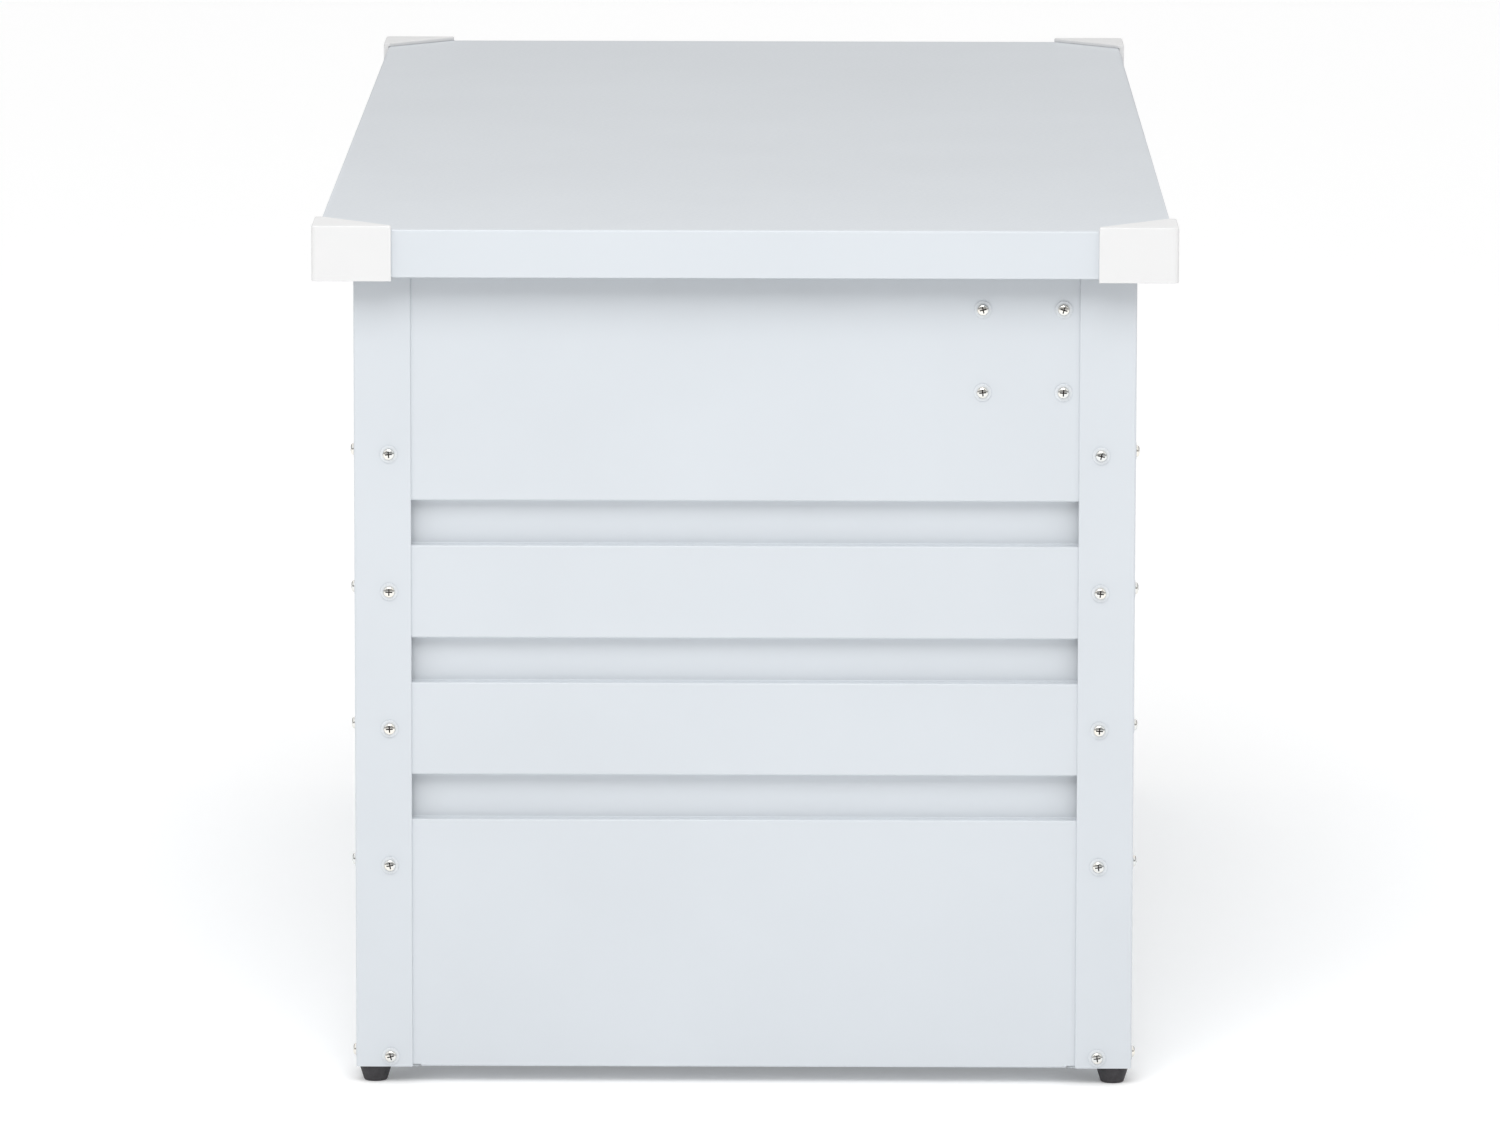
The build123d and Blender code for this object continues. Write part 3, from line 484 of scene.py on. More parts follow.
def turned(name, profile, centre):
    """A closed profile of (radius, height) points turned about the upright axis through centre."""
    around = 48
    bm = bmesh.new()
    rings = []
    for step in range(around):
        angle = 2 * math.pi * step / around
        rings.append([
            bm.verts.new((centre.x + r * math.cos(angle), centre.y + r * math.sin(angle), centre.z + z))
            for r, z in profile
        ])
    for ring, following in zip(rings, rings[1:] + rings[:1]):
        for number in range(len(profile)):
            last = number - 1
            bm.faces.new((ring[last], ring[number], following[number], following[last]))
    return new_piece(name, bm)


def rounded(corners):
    """A closed loop of (x, y, radius) corners with each corner rounded."""
    steps = 4
    loop = []
    points = [Vector(corner[:2]) for corner in corners]
    for number, (point, corner) in enumerate(zip(points, corners)):
        before = (point - points[number - 1]).normalized()
        after = (points[(number + 1) % len(points)] - point).normalized()
        turn = before.cross(after)
        if corner[2] == 0 or abs(turn) < 1e-6:
            loop.append(tuple(point))
            continue
        angle = math.atan2(abs(turn), before.dot(after))
        way = 1 if turn > 0 else -1
        lefts = [Vector((-d.y, d.x)) * way for d in (before, after)]
        centre = point + (lefts[0] + lefts[1]) * corner[2] / (1 + lefts[0].dot(lefts[1]))
        for step in range(steps + 1):
            out = Matrix.Rotation(way * angle * step / steps, 2) @ -lefts[0]
            loop.append(tuple(centre + out * corner[2]))
    return loop


def softened(name, node, edge, steps=2):
    """A copy of a CAD node with its faces joined up and its sharp edges rounded."""
    bm = bmesh.new()
    bm.from_mesh(frame["nodes"][node].data)
    bmesh.ops.remove_doubles(bm, verts=bm.verts, dist=1e-6)
    bmesh.ops.dissolve_limit(bm, angle_limit=math.radians(0.5), verts=bm.verts, edges=bm.edges)
    crease = math.radians(30)
    sharp = [e for e in bm.edges if len(e.link_faces) == 2 and e.calc_face_angle() > crease]
    bmesh.ops.bevel(
        bm, geom=sharp, offset=edge, segments=steps, profile=0.5, affect="EDGES", clamp_overlap=True
    )
    return new_piece(name, bm)


def loose_parts(node):
    """The box (low, high) of each separate solid in a CAD node."""
    bm = bmesh.new()
    bm.from_mesh(frame["nodes"][node].data)
    bmesh.ops.remove_doubles(bm, verts=bm.verts, dist=1e-6)
    seen, boxes = set(), []
    for start in bm.verts:
        if start in seen:
            continue
        found, front = [], [start]
        seen.add(start)
        while front:
            vertex = front.pop()
            found.append(vertex.co)
            for edge in vertex.link_edges:
                other = edge.other_vert(vertex)
                if other not in seen:
                    seen.add(other)
                    front.append(other)
        low = Vector(min(co[axis] for co in found) for axis in range(3))
        high = Vector(max(co[axis] for co in found) for axis in range(3))
        boxes.append((low, high))
    bm.free()
    return sorted(boxes, key=lambda box: tuple(round(c, 5) for c in box[0] + box[1]))


# ------------------------------------------------------------------ fastener trees
MATH = "ShaderNodeMath"


def new_tree(name, sizes, whole=()):
    """A Geometry Nodes tree: places in, fasteners out, with inputs for the sizes and the finish.

    whole names the inputs that are whole numbers.
    """
    tree = bpy.data.node_groups.new(name, "GeometryNodeTree")
    kinds = {
        "Places": "Geometry", **dict.fromkeys(sizes, "Float"), **dict.fromkeys(whole, "Int"),
        "Finish": "Material",
    }
    for label, kind in kinds.items():
        tree.interface.new_socket(label, in_out="INPUT", socket_type=f"NodeSocket{kind}")
    tree.interface.new_socket("Fasteners", in_out="OUTPUT", socket_type="NodeSocketGeometry")
    return tree, add_node(tree, "NodeGroupInput").outputs


def spread_out(tree, given, shape, turn=0.0):
    """Set the shape on every place, facing its outward way and turned about it, as real mesh."""
    outward = add_node(
        tree, "GeometryNodeInputNamedAttribute", {"Name": "outward"}, data_type="FLOAT_VECTOR"
    )
    facing = add_node(
        tree, "FunctionNodeAlignRotationToVector", {"Vector": outward.outputs["Attribute"]}, axis="Z"
    )
    about = add_node(tree, "FunctionNodeAxisAngleToRotation", {"Axis": (0, 0, 1), "Angle": turn})
    rolled = add_node(
        tree, "FunctionNodeRotateRotation", {"Rotation": facing, "Rotate By": about},
        rotation_space="LOCAL",
    )
    spread = add_node(
        tree, "GeometryNodeInstanceOnPoints",
        {"Points": given["Places"], "Instance": shape, "Rotation": rolled},
    )
    real = add_node(tree, "GeometryNodeRealizeInstances", (spread,))
    coated = add_node(tree, "GeometryNodeSetMaterial", {"Geometry": real, "Material": given["Finish"]})
    add_node(tree, "NodeGroupOutput", {"Fasteners": coated})


def pan_screw_tree():
    """Cross-recessed pan-head screws with a cut thread."""
    tree, given = new_tree("Pan-head screws", (
        "Head Radius", "Head Height", "Shank Radius", "Shank Length", "Thread Pitch", "Thread Depth",
        "Recess Length", "Recess Width", "Recess Depth", "Turn Spread",
    ), ("Turn Seed",))
    spot = add_node(tree, "GeometryNodeInputPosition")
    x, y, z = add_node(tree, "ShaderNodeSeparateXYZ", (spot,)).outputs
    # the head: a ball with its upper half filled out to a pan and its lower half pressed flat
    fullness = 0.6
    ball = add_node(tree, "GeometryNodeMeshUVSphere", {"Segments": 24, "Rings": 14, "Radius": 1.0})
    upper = add_node(tree, MATH, (z, 0.0), operation="MAXIMUM")
    crown = add_node(tree, MATH, (upper, fullness), operation="POWER")
    pan = add_node(tree, "ShaderNodeCombineXYZ", (x, y, crown))
    reach = add_node(
        tree, "ShaderNodeCombineXYZ", (given["Head Radius"], given["Head Radius"], given["Head Height"])
    )
    shaped = add_node(tree, "ShaderNodeVectorMath", (pan, reach), operation="MULTIPLY")
    head = add_node(tree, "GeometryNodeSetPosition", {"Geometry": ball, "Position": shaped})
    # the recess: two tapered blades crossed, each a four-sided cone turned square
    bottom = 0.55  # width at the recess's floor, as a share of its mouth
    side_share = 0.7071  # of a cone with four sides and radius 1, for a square with sides of 1
    overcut = 1.2  # the blades stand this much above the head
    blade = add_node(
        tree, "GeometryNodeMeshCone",
        {"Vertices": 4, "Radius Top": 1.0, "Radius Bottom": bottom, "Depth": 1.0},
    )
    squared = add_node(
        tree, "GeometryNodeTransform", {"Geometry": blade, "Rotation": (0, 0, math.pi / 4)}
    )
    # the blades' faces carry the recess mark into the cut, where the zinc material paints them dark as
    # painted shade
    marked = add_node(
        tree, "GeometryNodeStoreNamedAttribute", {"Geometry": squared, "Name": "recess", "Value": 1.0},
        data_type="FLOAT", domain="FACE",
    )
    shares = {"Recess Length": side_share, "Recess Width": side_share, "Recess Depth": overcut}
    long_way, wide_way, deep_way = (
        add_node(tree, MATH, (given[size], share), operation="MULTIPLY")
        for size, share in shares.items()
    )
    sunk = add_node(tree, MATH, (given["Head Height"], given["Recess Depth"]), operation="SUBTRACT")
    sink = add_node(tree, "ShaderNodeCombineXYZ", {"Z": sunk})
    blades = []
    for across, upwards in ((long_way, wide_way), (wide_way, long_way)):
        size = add_node(tree, "ShaderNodeCombineXYZ", (across, upwards, deep_way))
        blades.append(add_node(
            tree, "GeometryNodeTransform", {"Geometry": marked, "Translation": sink, "Scale": size}
        ))
    cut = add_node(
        tree, "GeometryNodeMeshBoolean", {"Mesh 1": head, "Mesh 2": blades, "Self Intersection": True},
        operation="DIFFERENCE", solver="EXACT",
    )
    # the shank: a cylinder whose radius runs in and out along a helix
    sides, rings_per_turn = 12, 3.0
    turns_long = add_node(tree, MATH, (given["Shank Length"], given["Thread Pitch"]), operation="DIVIDE")
    rings = add_node(tree, MATH, (turns_long, rings_per_turn), operation="MULTIPLY")
    shank = add_node(
        tree, "GeometryNodeMeshCylinder",
        {"Vertices": sides, "Side Segments": rings, "Radius": 1.0, "Depth": given["Shank Length"]},
    )
    bearing = add_node(tree, MATH, (y, x), operation="ARCTAN2")
    lap = add_node(tree, MATH, (bearing, 2 * math.pi), operation="DIVIDE")
    climb = add_node(tree, MATH, (z, given["Thread Pitch"]), operation="DIVIDE")
    turns = add_node(tree, MATH, (climb, lap), operation="ADD")
    saw = add_node(tree, MATH, (turns, 0.5), operation="PINGPONG")
    dip = add_node(tree, MATH, (saw, given["Thread Depth"]), operation="MULTIPLY")
    cut_in = add_node(tree, MATH, (dip, 2.0), operation="MULTIPLY")
    radius = add_node(tree, MATH, (given["Shank Radius"], cut_in), operation="SUBTRACT")
    half = add_node(tree, MATH, (given["Shank Length"], 0.5), operation="MULTIPLY")
    girth = add_node(tree, "ShaderNodeCombineXYZ", (radius, radius, 1.0))
    waved = add_node(tree, "ShaderNodeVectorMath", (spot, girth), operation="MULTIPLY")
    lower = add_node(tree, "ShaderNodeCombineXYZ", {"Z": half})
    threaded = add_node(tree, "ShaderNodeVectorMath", (waved, lower), operation="SUBTRACT")
    thread = add_node(tree, "GeometryNodeSetPosition", {"Geometry": shank, "Position": threaded})
    screw = add_node(tree, "GeometryNodeJoinGeometry", ([cut, thread],))
    less = add_node(tree, MATH, (given["Turn Spread"], -1.0), operation="MULTIPLY")
    turn = add_node(
        tree, "FunctionNodeRandomValue", {2: less, 3: given["Turn Spread"], "Seed": given["Turn Seed"]},
        data_type="FLOAT",
    )
    spread_out(tree, given, screw, turn.outputs[1])
    return tree


def washer_tree():
    """Flat washers with softly rounded edges."""
    tree, given = new_tree("Washers", ("Outer Radius", "Bore Radius", "Thickness"))
    edge_share = 0.35
    radii = (given["Outer Radius"], given["Bore Radius"])
    both = add_node(tree, MATH, radii, operation="ADD")
    middle = add_node(tree, MATH, (both, 0.5), operation="MULTIPLY")
    ring = add_node(tree, "GeometryNodeCurvePrimitiveCircle", {"Resolution": 28, "Radius": middle})
    width = add_node(tree, MATH, radii, operation="SUBTRACT")
    section = add_node(
        tree, "GeometryNodeCurvePrimitiveQuadrilateral", {"Width": width, "Height": given["Thickness"]}
    )
    edge = add_node(tree, MATH, (given["Thickness"], edge_share), operation="MULTIPLY")
    eased = add_node(
        tree, "GeometryNodeFilletCurve", {"Curve": section, "Count": 2, "Radius": edge}, mode="POLY"
    )
    washer = add_node(tree, "GeometryNodeCurveToMesh", {"Curve": ring, "Profile Curve": eased})
    half = add_node(tree, MATH, (given["Thickness"], 0.5), operation="MULTIPLY")
    lift = add_node(tree, "ShaderNodeCombineXYZ", {"Z": half})
    seated = add_node(tree, "GeometryNodeTransform", {"Geometry": washer, "Translation": lift})
    spread_out(tree, given, seated)
    return tree


def nut_tree():
    """Hexagon nuts, chamfered on the face away from the sheet."""
    tree, given = new_tree("Hexagon nuts", ("Across Flats", "Height"))
    face_share, chamfer_run = 0.49, 1.73
    corner = add_node(tree, MATH, (given["Across Flats"], math.sqrt(3)), operation="DIVIDE")
    prism = add_node(
        tree, "GeometryNodeMeshCylinder", {"Vertices": 6, "Depth": given["Height"], "Radius": corner}
    )
    narrow = add_node(tree, MATH, (given["Across Flats"], face_share), operation="MULTIPLY")
    spread = add_node(tree, MATH, (given["Height"], chamfer_run), operation="MULTIPLY")
    wide = add_node(tree, MATH, (narrow, spread), operation="ADD")
    cone = add_node(
        tree, "GeometryNodeMeshCone",
        {"Vertices": 30, "Radius Top": narrow, "Radius Bottom": wide, "Depth": given["Height"]},
    )
    half = add_node(tree, MATH, (given["Height"], 0.5), operation="MULTIPLY")
    lift = add_node(tree, "ShaderNodeCombineXYZ", {"Z": half})
    raised = add_node(tree, "GeometryNodeTransform", {"Geometry": prism, "Translation": lift})
    body = add_node(
        tree, "GeometryNodeMeshBoolean", {"Mesh 2": [raised, cone]},
        operation="INTERSECT", solver="EXACT",
    )
    spread_out(tree, given, body)
    return tree


def fastener_set(node, slot, tree, values, places):
    """Run a fastener tree on its places and keep the result as one plain mesh."""
    name = f"{node[:-1]}_set"
    mesh = bpy.data.meshes.new(name)
    mesh.from_pydata([place for place, way in places], [], [])
    outward = mesh.attributes.new("outward", "FLOAT_VECTOR", "POINT")
    outward.data.foreach_set("vector", [part for place, way in places for part in way])
    piece = bpy.data.objects.new(name, mesh)
    bpy.context.scene.collection.objects.link(piece)
    made = piece.modifiers.new(tree.name, "NODES")
    made.node_group = tree
    for size, value in values.items():
        made[tree.interface.items_tree[size].identifier] = value
    made[tree.interface.items_tree["Finish"].identifier] = finish_for(slot)
    plain_mesh(piece)
    if not piece.data.polygons:
        raise RuntimeError(f"{name} came out empty")
    fit_out(piece, [node], slot, crease=40)


def seats(node, thin, from_outer):
    """(place, way) of each fastener in a CAD node, at from_outer inside its outermost point.

    Its way is out along a screw's longest side, or the shortest of a thin washer or nut.
    """
    found = []
    for low, high in loose_parts(node):
        spans = list(high - low)
        axis = spans.index(min(spans) if thin else max(spans))
        side = 1 if low[axis] + high[axis] > 0 else -1
        place = (low + high) / 2
        place[axis] = (high if side > 0 else low)[axis] - side * from_outer
        way = Vector((0, 0, 0))
        way[axis] = side
        found.append((place, way))
    return found


def upright_seats(node, height, way):
    """(place, way) of each upright fastener in a CAD node, at height above its lowest point."""
    return [
        (Vector(((low.x + high.x) / 2, (low.y + high.y) / 2, low.z + height)), Vector((0, 0, way)))
        for low, high in loose_parts(node)
    ]


# ------------------------------------------------------------------ operators
class STORAGEBOX_OT_panels(bpy.types.Operator):
    """Fold the grooved end, front and back panels"""

    bl_idname = "storagebox.panels"
    bl_label = "Panels"

    def execute(self, context):
        sizes = context.scene.box_body
        for side, x_sign in SIDES.items():
            node = f"{side}_end_panel"
            low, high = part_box(node)
            face = max(abs(low.x), abs(high.x))
            self.fold(
                context, f"{side}_end_sheet", node, sizes.end_flange, 0.0, high.y,
                lambda at, point: (x_sign * (face + point.x), at, point.y),
            )
        for end, y_sign in {"front": -1, "back": 1}.items():
            node = f"{end}_panel"
            low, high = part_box(node)
            face = max(abs(low.y), abs(high.y))
            self.fold(
                context, f"{end}_sheet", node, sizes.long_flange, sizes.long_lip, high.x,
                lambda at, point: (at, y_sign * (face + point.x), point.y),
            )
        return {"FINISHED"}

    def fold(self, context, name, node, flange, lip, half, place):
        """One panel: planks and grooves between two flanges that stop short of its ends."""
        sizes = context.scene.box_body
        low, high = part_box(node)
        path = [(-sizes.bottom_flange, low.z), (0, low.z)]
        for step in reversed(range(sizes.groove_count)):
            top = high.z - sizes.top_plank - step * sizes.groove_pitch
            bottom = top - sizes.groove_height
            path += [(0, bottom), (-sizes.groove_depth, bottom), (-sizes.groove_depth, top), (0, top)]
        path += [(0, high.z), (-flange, high.z)]
        if lip:
            path.append((-flange, high.z - lip))
        upright = (1, 1 + 4 * sizes.groove_count)
        strip = fold_strip(path, sizes.panel_sheet, 1, [sizes.bend] * (len(path) - 2))
        stations = [-half, -half + sizes.flange_notch, half - sizes.flange_notch, half]
        piece = folded_sheet(
            name, strip, stations, place,
            lambda run, span: span == 1 or upright[0] <= run <= upright[1],
        )
        fit_out(piece, [node], "grey_paint")


class STORAGEBOX_OT_posts(bpy.types.Operator):
    """Fold the four corner posts with their hemmed edges"""

    bl_idname = "storagebox.posts"
    bl_label = "Corner posts"

    def execute(self, context):
        sizes = context.scene.box_body
        width, hem = sizes.post_width, sizes.hem
        for corner, (x_sign, y_sign) in CORNERS.items():
            node = f"{corner}_post"
            low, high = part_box(node)
            x, y = max(abs(low.x), abs(high.x)), max(abs(low.y), abs(high.y))
            fold = 2 * sizes.post_sheet + HEM_GAP
            path = [
                (width - hem, fold), (width, fold), (width, 0), (0, 0), (0, width), (fold, width),
                (fold, width - hem),
            ]
            bends = [HEM_BEND, HEM_BEND, sizes.bend, HEM_BEND, HEM_BEND]
            piece = folded_sheet(
                f"{corner}_post_sheet", fold_strip(path, sizes.post_sheet, -1, bends), [low.z, high.z],
                lambda at, point: (x_sign * (x - point.x), y_sign * (y - point.y), at),
            )
            fit_out(piece, [node], "grey_paint")
        return {"FINISHED"}


class STORAGEBOX_OT_lid(bpy.types.Operator):
    """Fold the lid sheet with its hemmed rim, and the stiffening rails under it"""

    bl_idname = "storagebox.lid"
    bl_label = "Lid"

    def execute(self, context):
        sizes = context.scene.box_lid
        low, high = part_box("lid_sheet")
        fold = 2 * sizes.sheet + HEM_GAP
        flat = 4 * mm  # the top is one flat face from this far in
        path = [(flat, high.z), (0, high.z), (0, low.z), (fold, low.z), (fold, low.z + sizes.hem)]
        pairs, runs = fold_strip(path, sizes.sheet, 1, [sizes.bend, HEM_BEND, HEM_BEND])
        bm = bmesh.new()
        rows = [
            [
                [bm.verts.new((sx * (high.x - p.x), sy * (high.y - p.x), p.y)) for p in pair]
                for pair in pairs
            ]
            for sx, sy in ((-1, -1), (1, -1), (1, 1), (-1, 1))
        ]
        for row, following in zip(rows, rows[1:] + rows[:1]):
            for number in range(len(runs)):
                for layer in (0, 1):
                    bm.faces.new((
                        row[number][layer], row[number + 1][layer],
                        following[number + 1][layer], following[number][layer],
                    ))
            bm.faces.new((row[-1][0], row[-1][1], following[-1][1], following[-1][0]))
        for layer in (0, 1):
            bm.faces.new([row[0][layer] for row in rows])
        fit_out(new_piece("lid_shell", bm), ["lid_sheet"], "grey_paint")
        for side in SIDES:
            node = f"{side}_lid_rail"
            low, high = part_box(node)
            edge = (high.x - low.x) / 2 - sizes.rail_flange
            middle = (low.x + high.x) / 2
            inside = low.z + sizes.rail_sheet
            path = [
                (-edge - sizes.rail_flange, high.z), (-edge, high.z), (-edge, inside), (edge, inside),
                (edge, high.z), (edge + sizes.rail_flange, high.z),
            ]
            strip = fold_strip(path, sizes.rail_sheet, -1, [sizes.rail_bend] * 4)
            piece = folded_sheet(
                f"{side}_rail_channel", strip, [low.y, high.y],
                lambda at, point: (middle + point.x, at, point.y),
            )
            fit_out(piece, [node], "grey_paint")
        return {"FINISHED"}


class STORAGEBOX_OT_caps(bpy.types.Operator):
    """Round the edges of the four corner caps"""

    bl_idname = "storagebox.caps"
    bl_label = "Corner caps"

    def execute(self, context):
        for corner in CORNERS:
            node = f"{corner}_cap"
            piece = softened(f"{corner}_corner_cap", node, context.scene.box_lid.cap_edge)
            fit_out(piece, [node], "cap_plastic")
        return {"FINISHED"}


class STORAGEBOX_OT_floor(bpy.types.Operator):
    """Press the beaded floor and its middle rail"""

    bl_idname = "storagebox.floor"
    bl_label = "Floor"

    def execute(self, context):
        sizes = context.scene.box_body
        for side, x_sign in SIDES.items():
            node = f"{side}_floor_panel"
            low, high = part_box(node)
            inner, outer = sorted((abs(low.x), abs(high.x)))
            crown = high.z - low.z - sizes.panel_sheet
            path = [(inner, low.z)]
            for share in (1 / 3, 2 / 3):
                middle = share * outer
                path += [
                    (middle - sizes.bead_foot / 2, low.z), (middle - sizes.bead_crown / 2, low.z + crown),
                    (middle + sizes.bead_crown / 2, low.z + crown), (middle + sizes.bead_foot / 2, low.z),
                ]
            path += [(outer - sizes.floor_notch, low.z), (outer, low.z)]
            last = len(path) - 2
            bends = [sizes.bead_bend] * (len(path) - 3) + [0.0]
            strip = fold_strip(path, sizes.panel_sheet, 1, bends, steps=3)
            stations = [low.y, low.y + sizes.floor_notch, high.y - sizes.floor_notch, high.y]
            piece = folded_sheet(
                f"{side}_floor_sheet", strip, stations,
                lambda at, point: (x_sign * point.x, at, point.y),
                lambda run, span: span == 1 or run < last - 0.5,
            )
            fit_out(piece, [node], "grey_paint")
        fit_out(softened("floor_channel", "floor_rail", sizes.rail_edge), ["floor_rail"], "grey_paint")
        return {"FINISHED"}


class STORAGEBOX_OT_feet(bpy.types.Operator):
    """Turn the rubber feet and round the foot brackets"""

    bl_idname = "storagebox.feet"
    bl_label = "Feet"

    def execute(self, context):
        bore, counterbore, tread = 2.6 * mm, 5.2 * mm, 8.3 * mm
        for corner in CORNERS:
            low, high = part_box(f"{corner}_foot")
            top = (high.x - low.x) / 2
            tall = high.z - low.z
            profile = rounded([
                (bore, tall / 2, 0), (counterbore, tall / 2, 0.3 * mm), (counterbore, 0, 0.5 * mm),
                (tread, 0, 1.3 * mm), (top - 0.25 * mm, tall - 2.0 * mm, 0.5 * mm),
                (top, tall - 1.4 * mm, 0.2 * mm), (top, tall, 0.35 * mm), (bore, tall, 0),
            ])
            centre = Vector(((low.x + high.x) / 2, (low.y + high.y) / 2, low.z))
            fit_out(turned(f"{corner}_rubber_foot", profile, centre), [f"{corner}_foot"], "foot_rubber")
            plate = f"{corner}_foot_bracket"
            bracket = softened(f"{corner}_foot_plate", plate, context.scene.box_body.bracket_edge)
            fit_out(bracket, [plate], "bracket_zinc")
        return {"FINISHED"}


class STORAGEBOX_OT_fasteners(bpy.types.Operator):
    """Set out the screws, washers and nuts with Geometry Nodes"""

    bl_idname = "storagebox.fasteners"
    bl_label = "Screws, washers and nuts"

    def execute(self, context):
        sizes = context.scene.box_fasteners
        screws, washers, nuts = pan_screw_tree(), washer_tree(), nut_tree()
        thick = sizes.head_height
        for node in ("body_screws", "lid_screws"):
            low, high = loose_parts(node)[0]
            long = max(high - low) - thick
            values = self.screw_sizes(sizes, sizes.head_radius, thick, sizes.shank_radius, long)
            fastener_set(node, "zinc_steel", screws, values, seats(node, False, thick))
        low, high = loose_parts("foot_bolts")[0]
        thick = sizes.bolt_head_height
        long = high.z - low.z - thick
        values = self.screw_sizes(sizes, sizes.bolt_head_radius, thick, sizes.bolt_radius, long)
        places = upright_seats("foot_bolts", thick, -1)
        fastener_set("foot_bolts", "zinc_steel", screws, values, places)
        values = {
            "Outer Radius": sizes.washer_radius, "Bore Radius": sizes.washer_bore,
            "Thickness": sizes.washer_height,
        }
        places = seats("body_washers", True, sizes.washer_height)
        fastener_set("body_washers", "washer_nylon", washers, values, places)
        values = {"Across Flats": sizes.nut_width, "Height": sizes.nut_height}
        for node in ("body_nuts", "lid_nuts"):
            places = [(place, -way) for place, way in seats(node, True, 0.0)]
            fastener_set(node, "zinc_steel", nuts, values, places)
        values = {"Across Flats": sizes.foot_nut_width, "Height": sizes.foot_nut_height}
        places = upright_seats("foot_nuts", 0.0, 1)
        fastener_set("foot_nuts", "zinc_steel", nuts, values, places)
        return {"FINISHED"}

    def screw_sizes(self, sizes, head, height, radius, long):
        """The screw tree's inputs for one size of screw."""
        return {
            "Head Radius": head, "Head Height": height, "Shank Radius": radius, "Shank Length": long,
            "Thread Pitch": sizes.thread_pitch, "Thread Depth": sizes.thread_depth,
            "Recess Length": sizes.recess_length, "Recess Width": sizes.recess_width,
            "Recess Depth": sizes.recess_depth, "Turn Spread": sizes.turn_spread,
            "Turn Seed": sizes.turn_seed,
        }


# each part's finish, and the rounding of its edges in millimetres
HINGE_PARTS = {
    "body_leaf": ("bracket_zinc", 0.3), "lid_leaf": ("bracket_zinc", 0.3), "pin": ("zinc_steel", 0.5),
}
STRUT_PARTS = {
    "strut_plate": ("bracket_zinc", 0.4), "lid_strut_bracket": ("bracket_zinc", 0.4),
    "lower_ball_stud": ("stud_steel", 0.25), "upper_ball_stud": ("stud_steel", 0.25),
    "lower_socket": ("socket_plastic", 0.6), "upper_socket": ("socket_plastic", 0.6),
    "strut_tube": ("tube_paint", 0.8), "piston_rod": ("rod_chrome", 0.3),
}


class STORAGEBOX_OT_hinges(bpy.types.Operator):
    """Ease the edges of the three hinges"""

    bl_idname = "storagebox.hinges"
    bl_label = "Hinges"

    def execute(self, context):
        for place in ("left", "middle", "right"):
            for part, (slot, edge) in HINGE_PARTS.items():
                node = f"{place}_hinge_{part}"
                fit_out(softened(f"{place}_eased_hinge_{part}", node, edge * mm), [node], slot)
        return {"FINISHED"}


class STORAGEBOX_OT_struts(bpy.types.Operator):
    """Ease the edges of the gas struts, their sockets, studs and plates, and the lid's buffers"""

    bl_idname = "storagebox.struts"
    bl_label = "Gas struts"

    def execute(self, context):
        for side in SIDES:
            for part, (slot, edge) in STRUT_PARTS.items():
                node = f"{side}_{part}"
                fit_out(softened(f"{side}_eased_{part}", node, edge * mm), [node], slot)
        buffers = softened("rubber_buffers", "lid_buffers", context.scene.box_lid.buffer_edge, steps=4)
        fit_out(buffers, ["lid_buffers"], "foot_rubber")
        return {"FINISHED"}


# the lamps' places in metres; all of them face the middle of the box
KEY_PLACE = (2.9, -0.2, 2.8)
WASH_PLACES = {
    "wash_front": (1.0, -2.2, 3.0), "wash_back": (1.0, 2.2, 3.0), "wash_end": (-2.4, 0.0, 3.0),
}


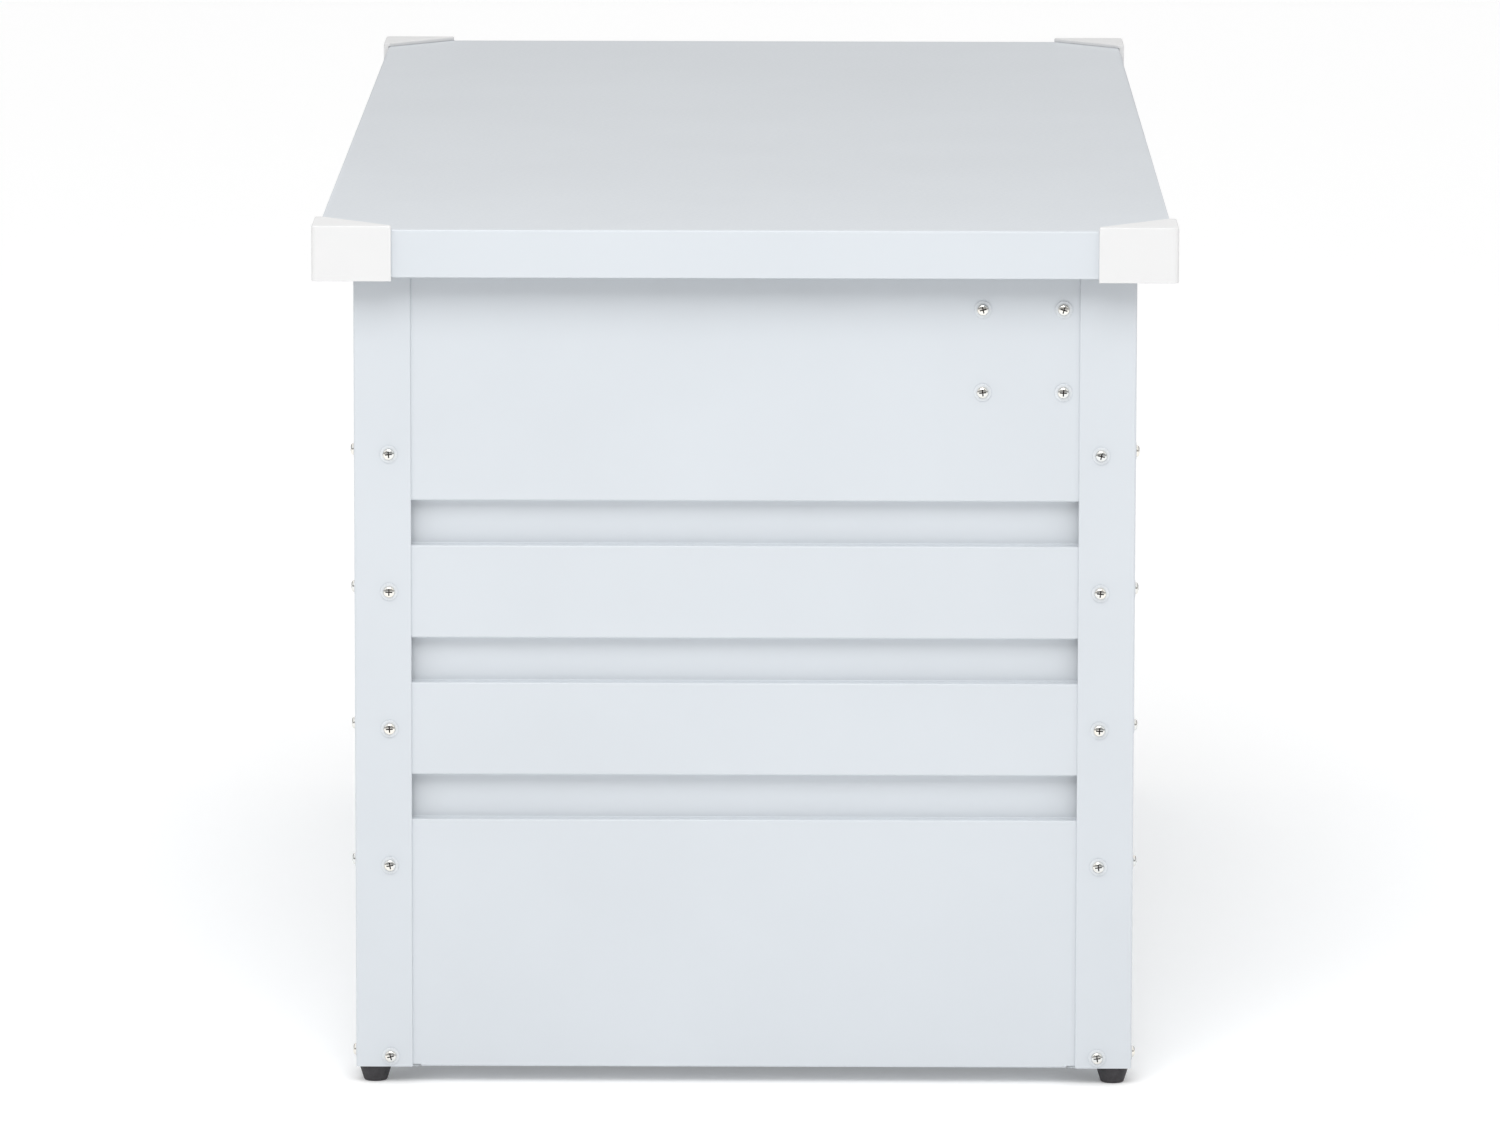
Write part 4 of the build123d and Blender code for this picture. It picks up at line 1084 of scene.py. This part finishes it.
class STORAGEBOX_OT_stage(bpy.types.Operator):
    """Set the pale floor, the soft studio light and the camera"""

    bl_idname = "storagebox.stage"
    bl_label = "Stage"

    def execute(self, context):
        scene = context.scene
        stage = scene.box_stage
        scene.view_settings.view_transform = "Standard"
        bm = bmesh.new()
        bmesh.ops.create_grid(bm, x_segments=1, y_segments=1, size=30.0)
        ground = new_piece("studio_floor", bm)
        drop = 0.2 * mm  # keeps the floor clear of the feet
        ground.data.transform(Matrix.Translation((0, 0, cad_box[0].z - drop)))
        # Matt white acrylic of a light table: even, very pale, faintly lit from below
        ground.data.materials.append(surface(
            "Light table", toned(scene.box_colours.ground, 0.995, 1.0), patch=1.5, gloss=(0.85, 0.95),
            grain=5 * mm, relief=0.005 * mm, Specular_IOR_Level=0.1, Emission_Color=(1, 1, 1, 1),
            Emission_Strength=stage.floor_glow,
        ))
        world = bpy.data.worlds.new("Soft studio")
        world.use_nodes = True
        sky = world.node_tree.nodes["Background"]
        sky.inputs["Color"].default_value = (1, 1, 1, 1)
        sky.inputs["Strength"].default_value = stage.sky
        scene.world = world
        middle = (cad_box[0] + cad_box[1]) / 2
        key = self.lamp(scene, "key_softbox", "AREA", KEY_PLACE, middle, stage.key)
        key.size = stage.key_size
        for name, place in WASH_PLACES.items():
            self.lamp(scene, name, "SUN", place, middle, stage.wash).angle = stage.wash_spread
        self.camera(scene, stage)
        return {"FINISHED"}

    def lamp(self, scene, name, kind, place, target, strength):
        """A lamp at place, aimed at target."""
        data = bpy.data.lights.new(name, kind)
        data.energy = strength
        made = bpy.data.objects.new(name, data)
        made.location = place
        made.rotation_euler = (target - Vector(place)).to_track_quat("-Z", "Y").to_euler()
        scene.collection.objects.link(made)
        return data

    def camera(self, scene, stage):
        """A long lens at the right-hand end of the box, a little above its lid."""
        data = bpy.data.cameras.new("studio_camera")
        data.lens = stage.lens
        data.sensor_width = 36.0
        data.clip_end = 100.0
        made = bpy.data.objects.new("studio_camera", data)
        made.location = (stage.camera_distance, stage.camera_aside, stage.camera_height)
        looking = Quaternion((0, 0, 1), math.pi / 2 + stage.swing) @ Quaternion((1, 0, 0), math.pi / 2)
        tilted = looking @ Quaternion((1, 0, 0), -stage.tilt) @ Quaternion((0, 0, 1), stage.roll)
        made.rotation_mode = "QUATERNION"
        made.rotation_quaternion = tilted
        scene.collection.objects.link(made)
        scene.camera = made


class STORAGEBOX_PT_panel(bpy.types.Panel):
    """Lists the box's sizes, colours and steps"""

    bl_label = "Storage Box"
    bl_idname = "STORAGEBOX_PT_panel"
    bl_space_type = "VIEW_3D"
    bl_region_type = "UI"
    bl_category = "Storage Box"

    def draw(self, context):
        for operator in OPERATORS:
            self.layout.operator(operator.bl_idname)
        for group, kind in GROUPS.items():
            box = self.layout.box()
            for name in kind.__annotations__:
                box.prop(getattr(context.scene, group), name)


GROUPS = {
    "box_body": BodySizes,
    "box_lid": LidSizes,
    "box_fasteners": FastenerSizes,
    "box_colours": FinishColours,
    "box_stage": StageSettings,
}
OPERATORS = (
    STORAGEBOX_OT_panels,
    STORAGEBOX_OT_posts,
    STORAGEBOX_OT_lid,
    STORAGEBOX_OT_caps,
    STORAGEBOX_OT_floor,
    STORAGEBOX_OT_feet,
    STORAGEBOX_OT_fasteners,
    STORAGEBOX_OT_hinges,
    STORAGEBOX_OT_struts,
    STORAGEBOX_OT_stage,
)
CLASSES = (*GROUPS.values(), *OPERATORS, STORAGEBOX_PT_panel)


def register():
    for each in CLASSES:
        bpy.utils.register_class(each)
    for group, kind in GROUPS.items():
        setattr(bpy.types.Scene, group, PointerProperty(type=kind))


def unregister():
    for group in GROUPS:
        delattr(bpy.types.Scene, group)
    for each in reversed(CLASSES):
        bpy.utils.unregister_class(each)


def main():
    """Build the box's looks in order."""
    register()
    for operator in OPERATORS:
        section, name = operator.bl_idname.split(".")
        getattr(getattr(bpy.ops, section), name)()


if __name__ == "__main__":
    main()
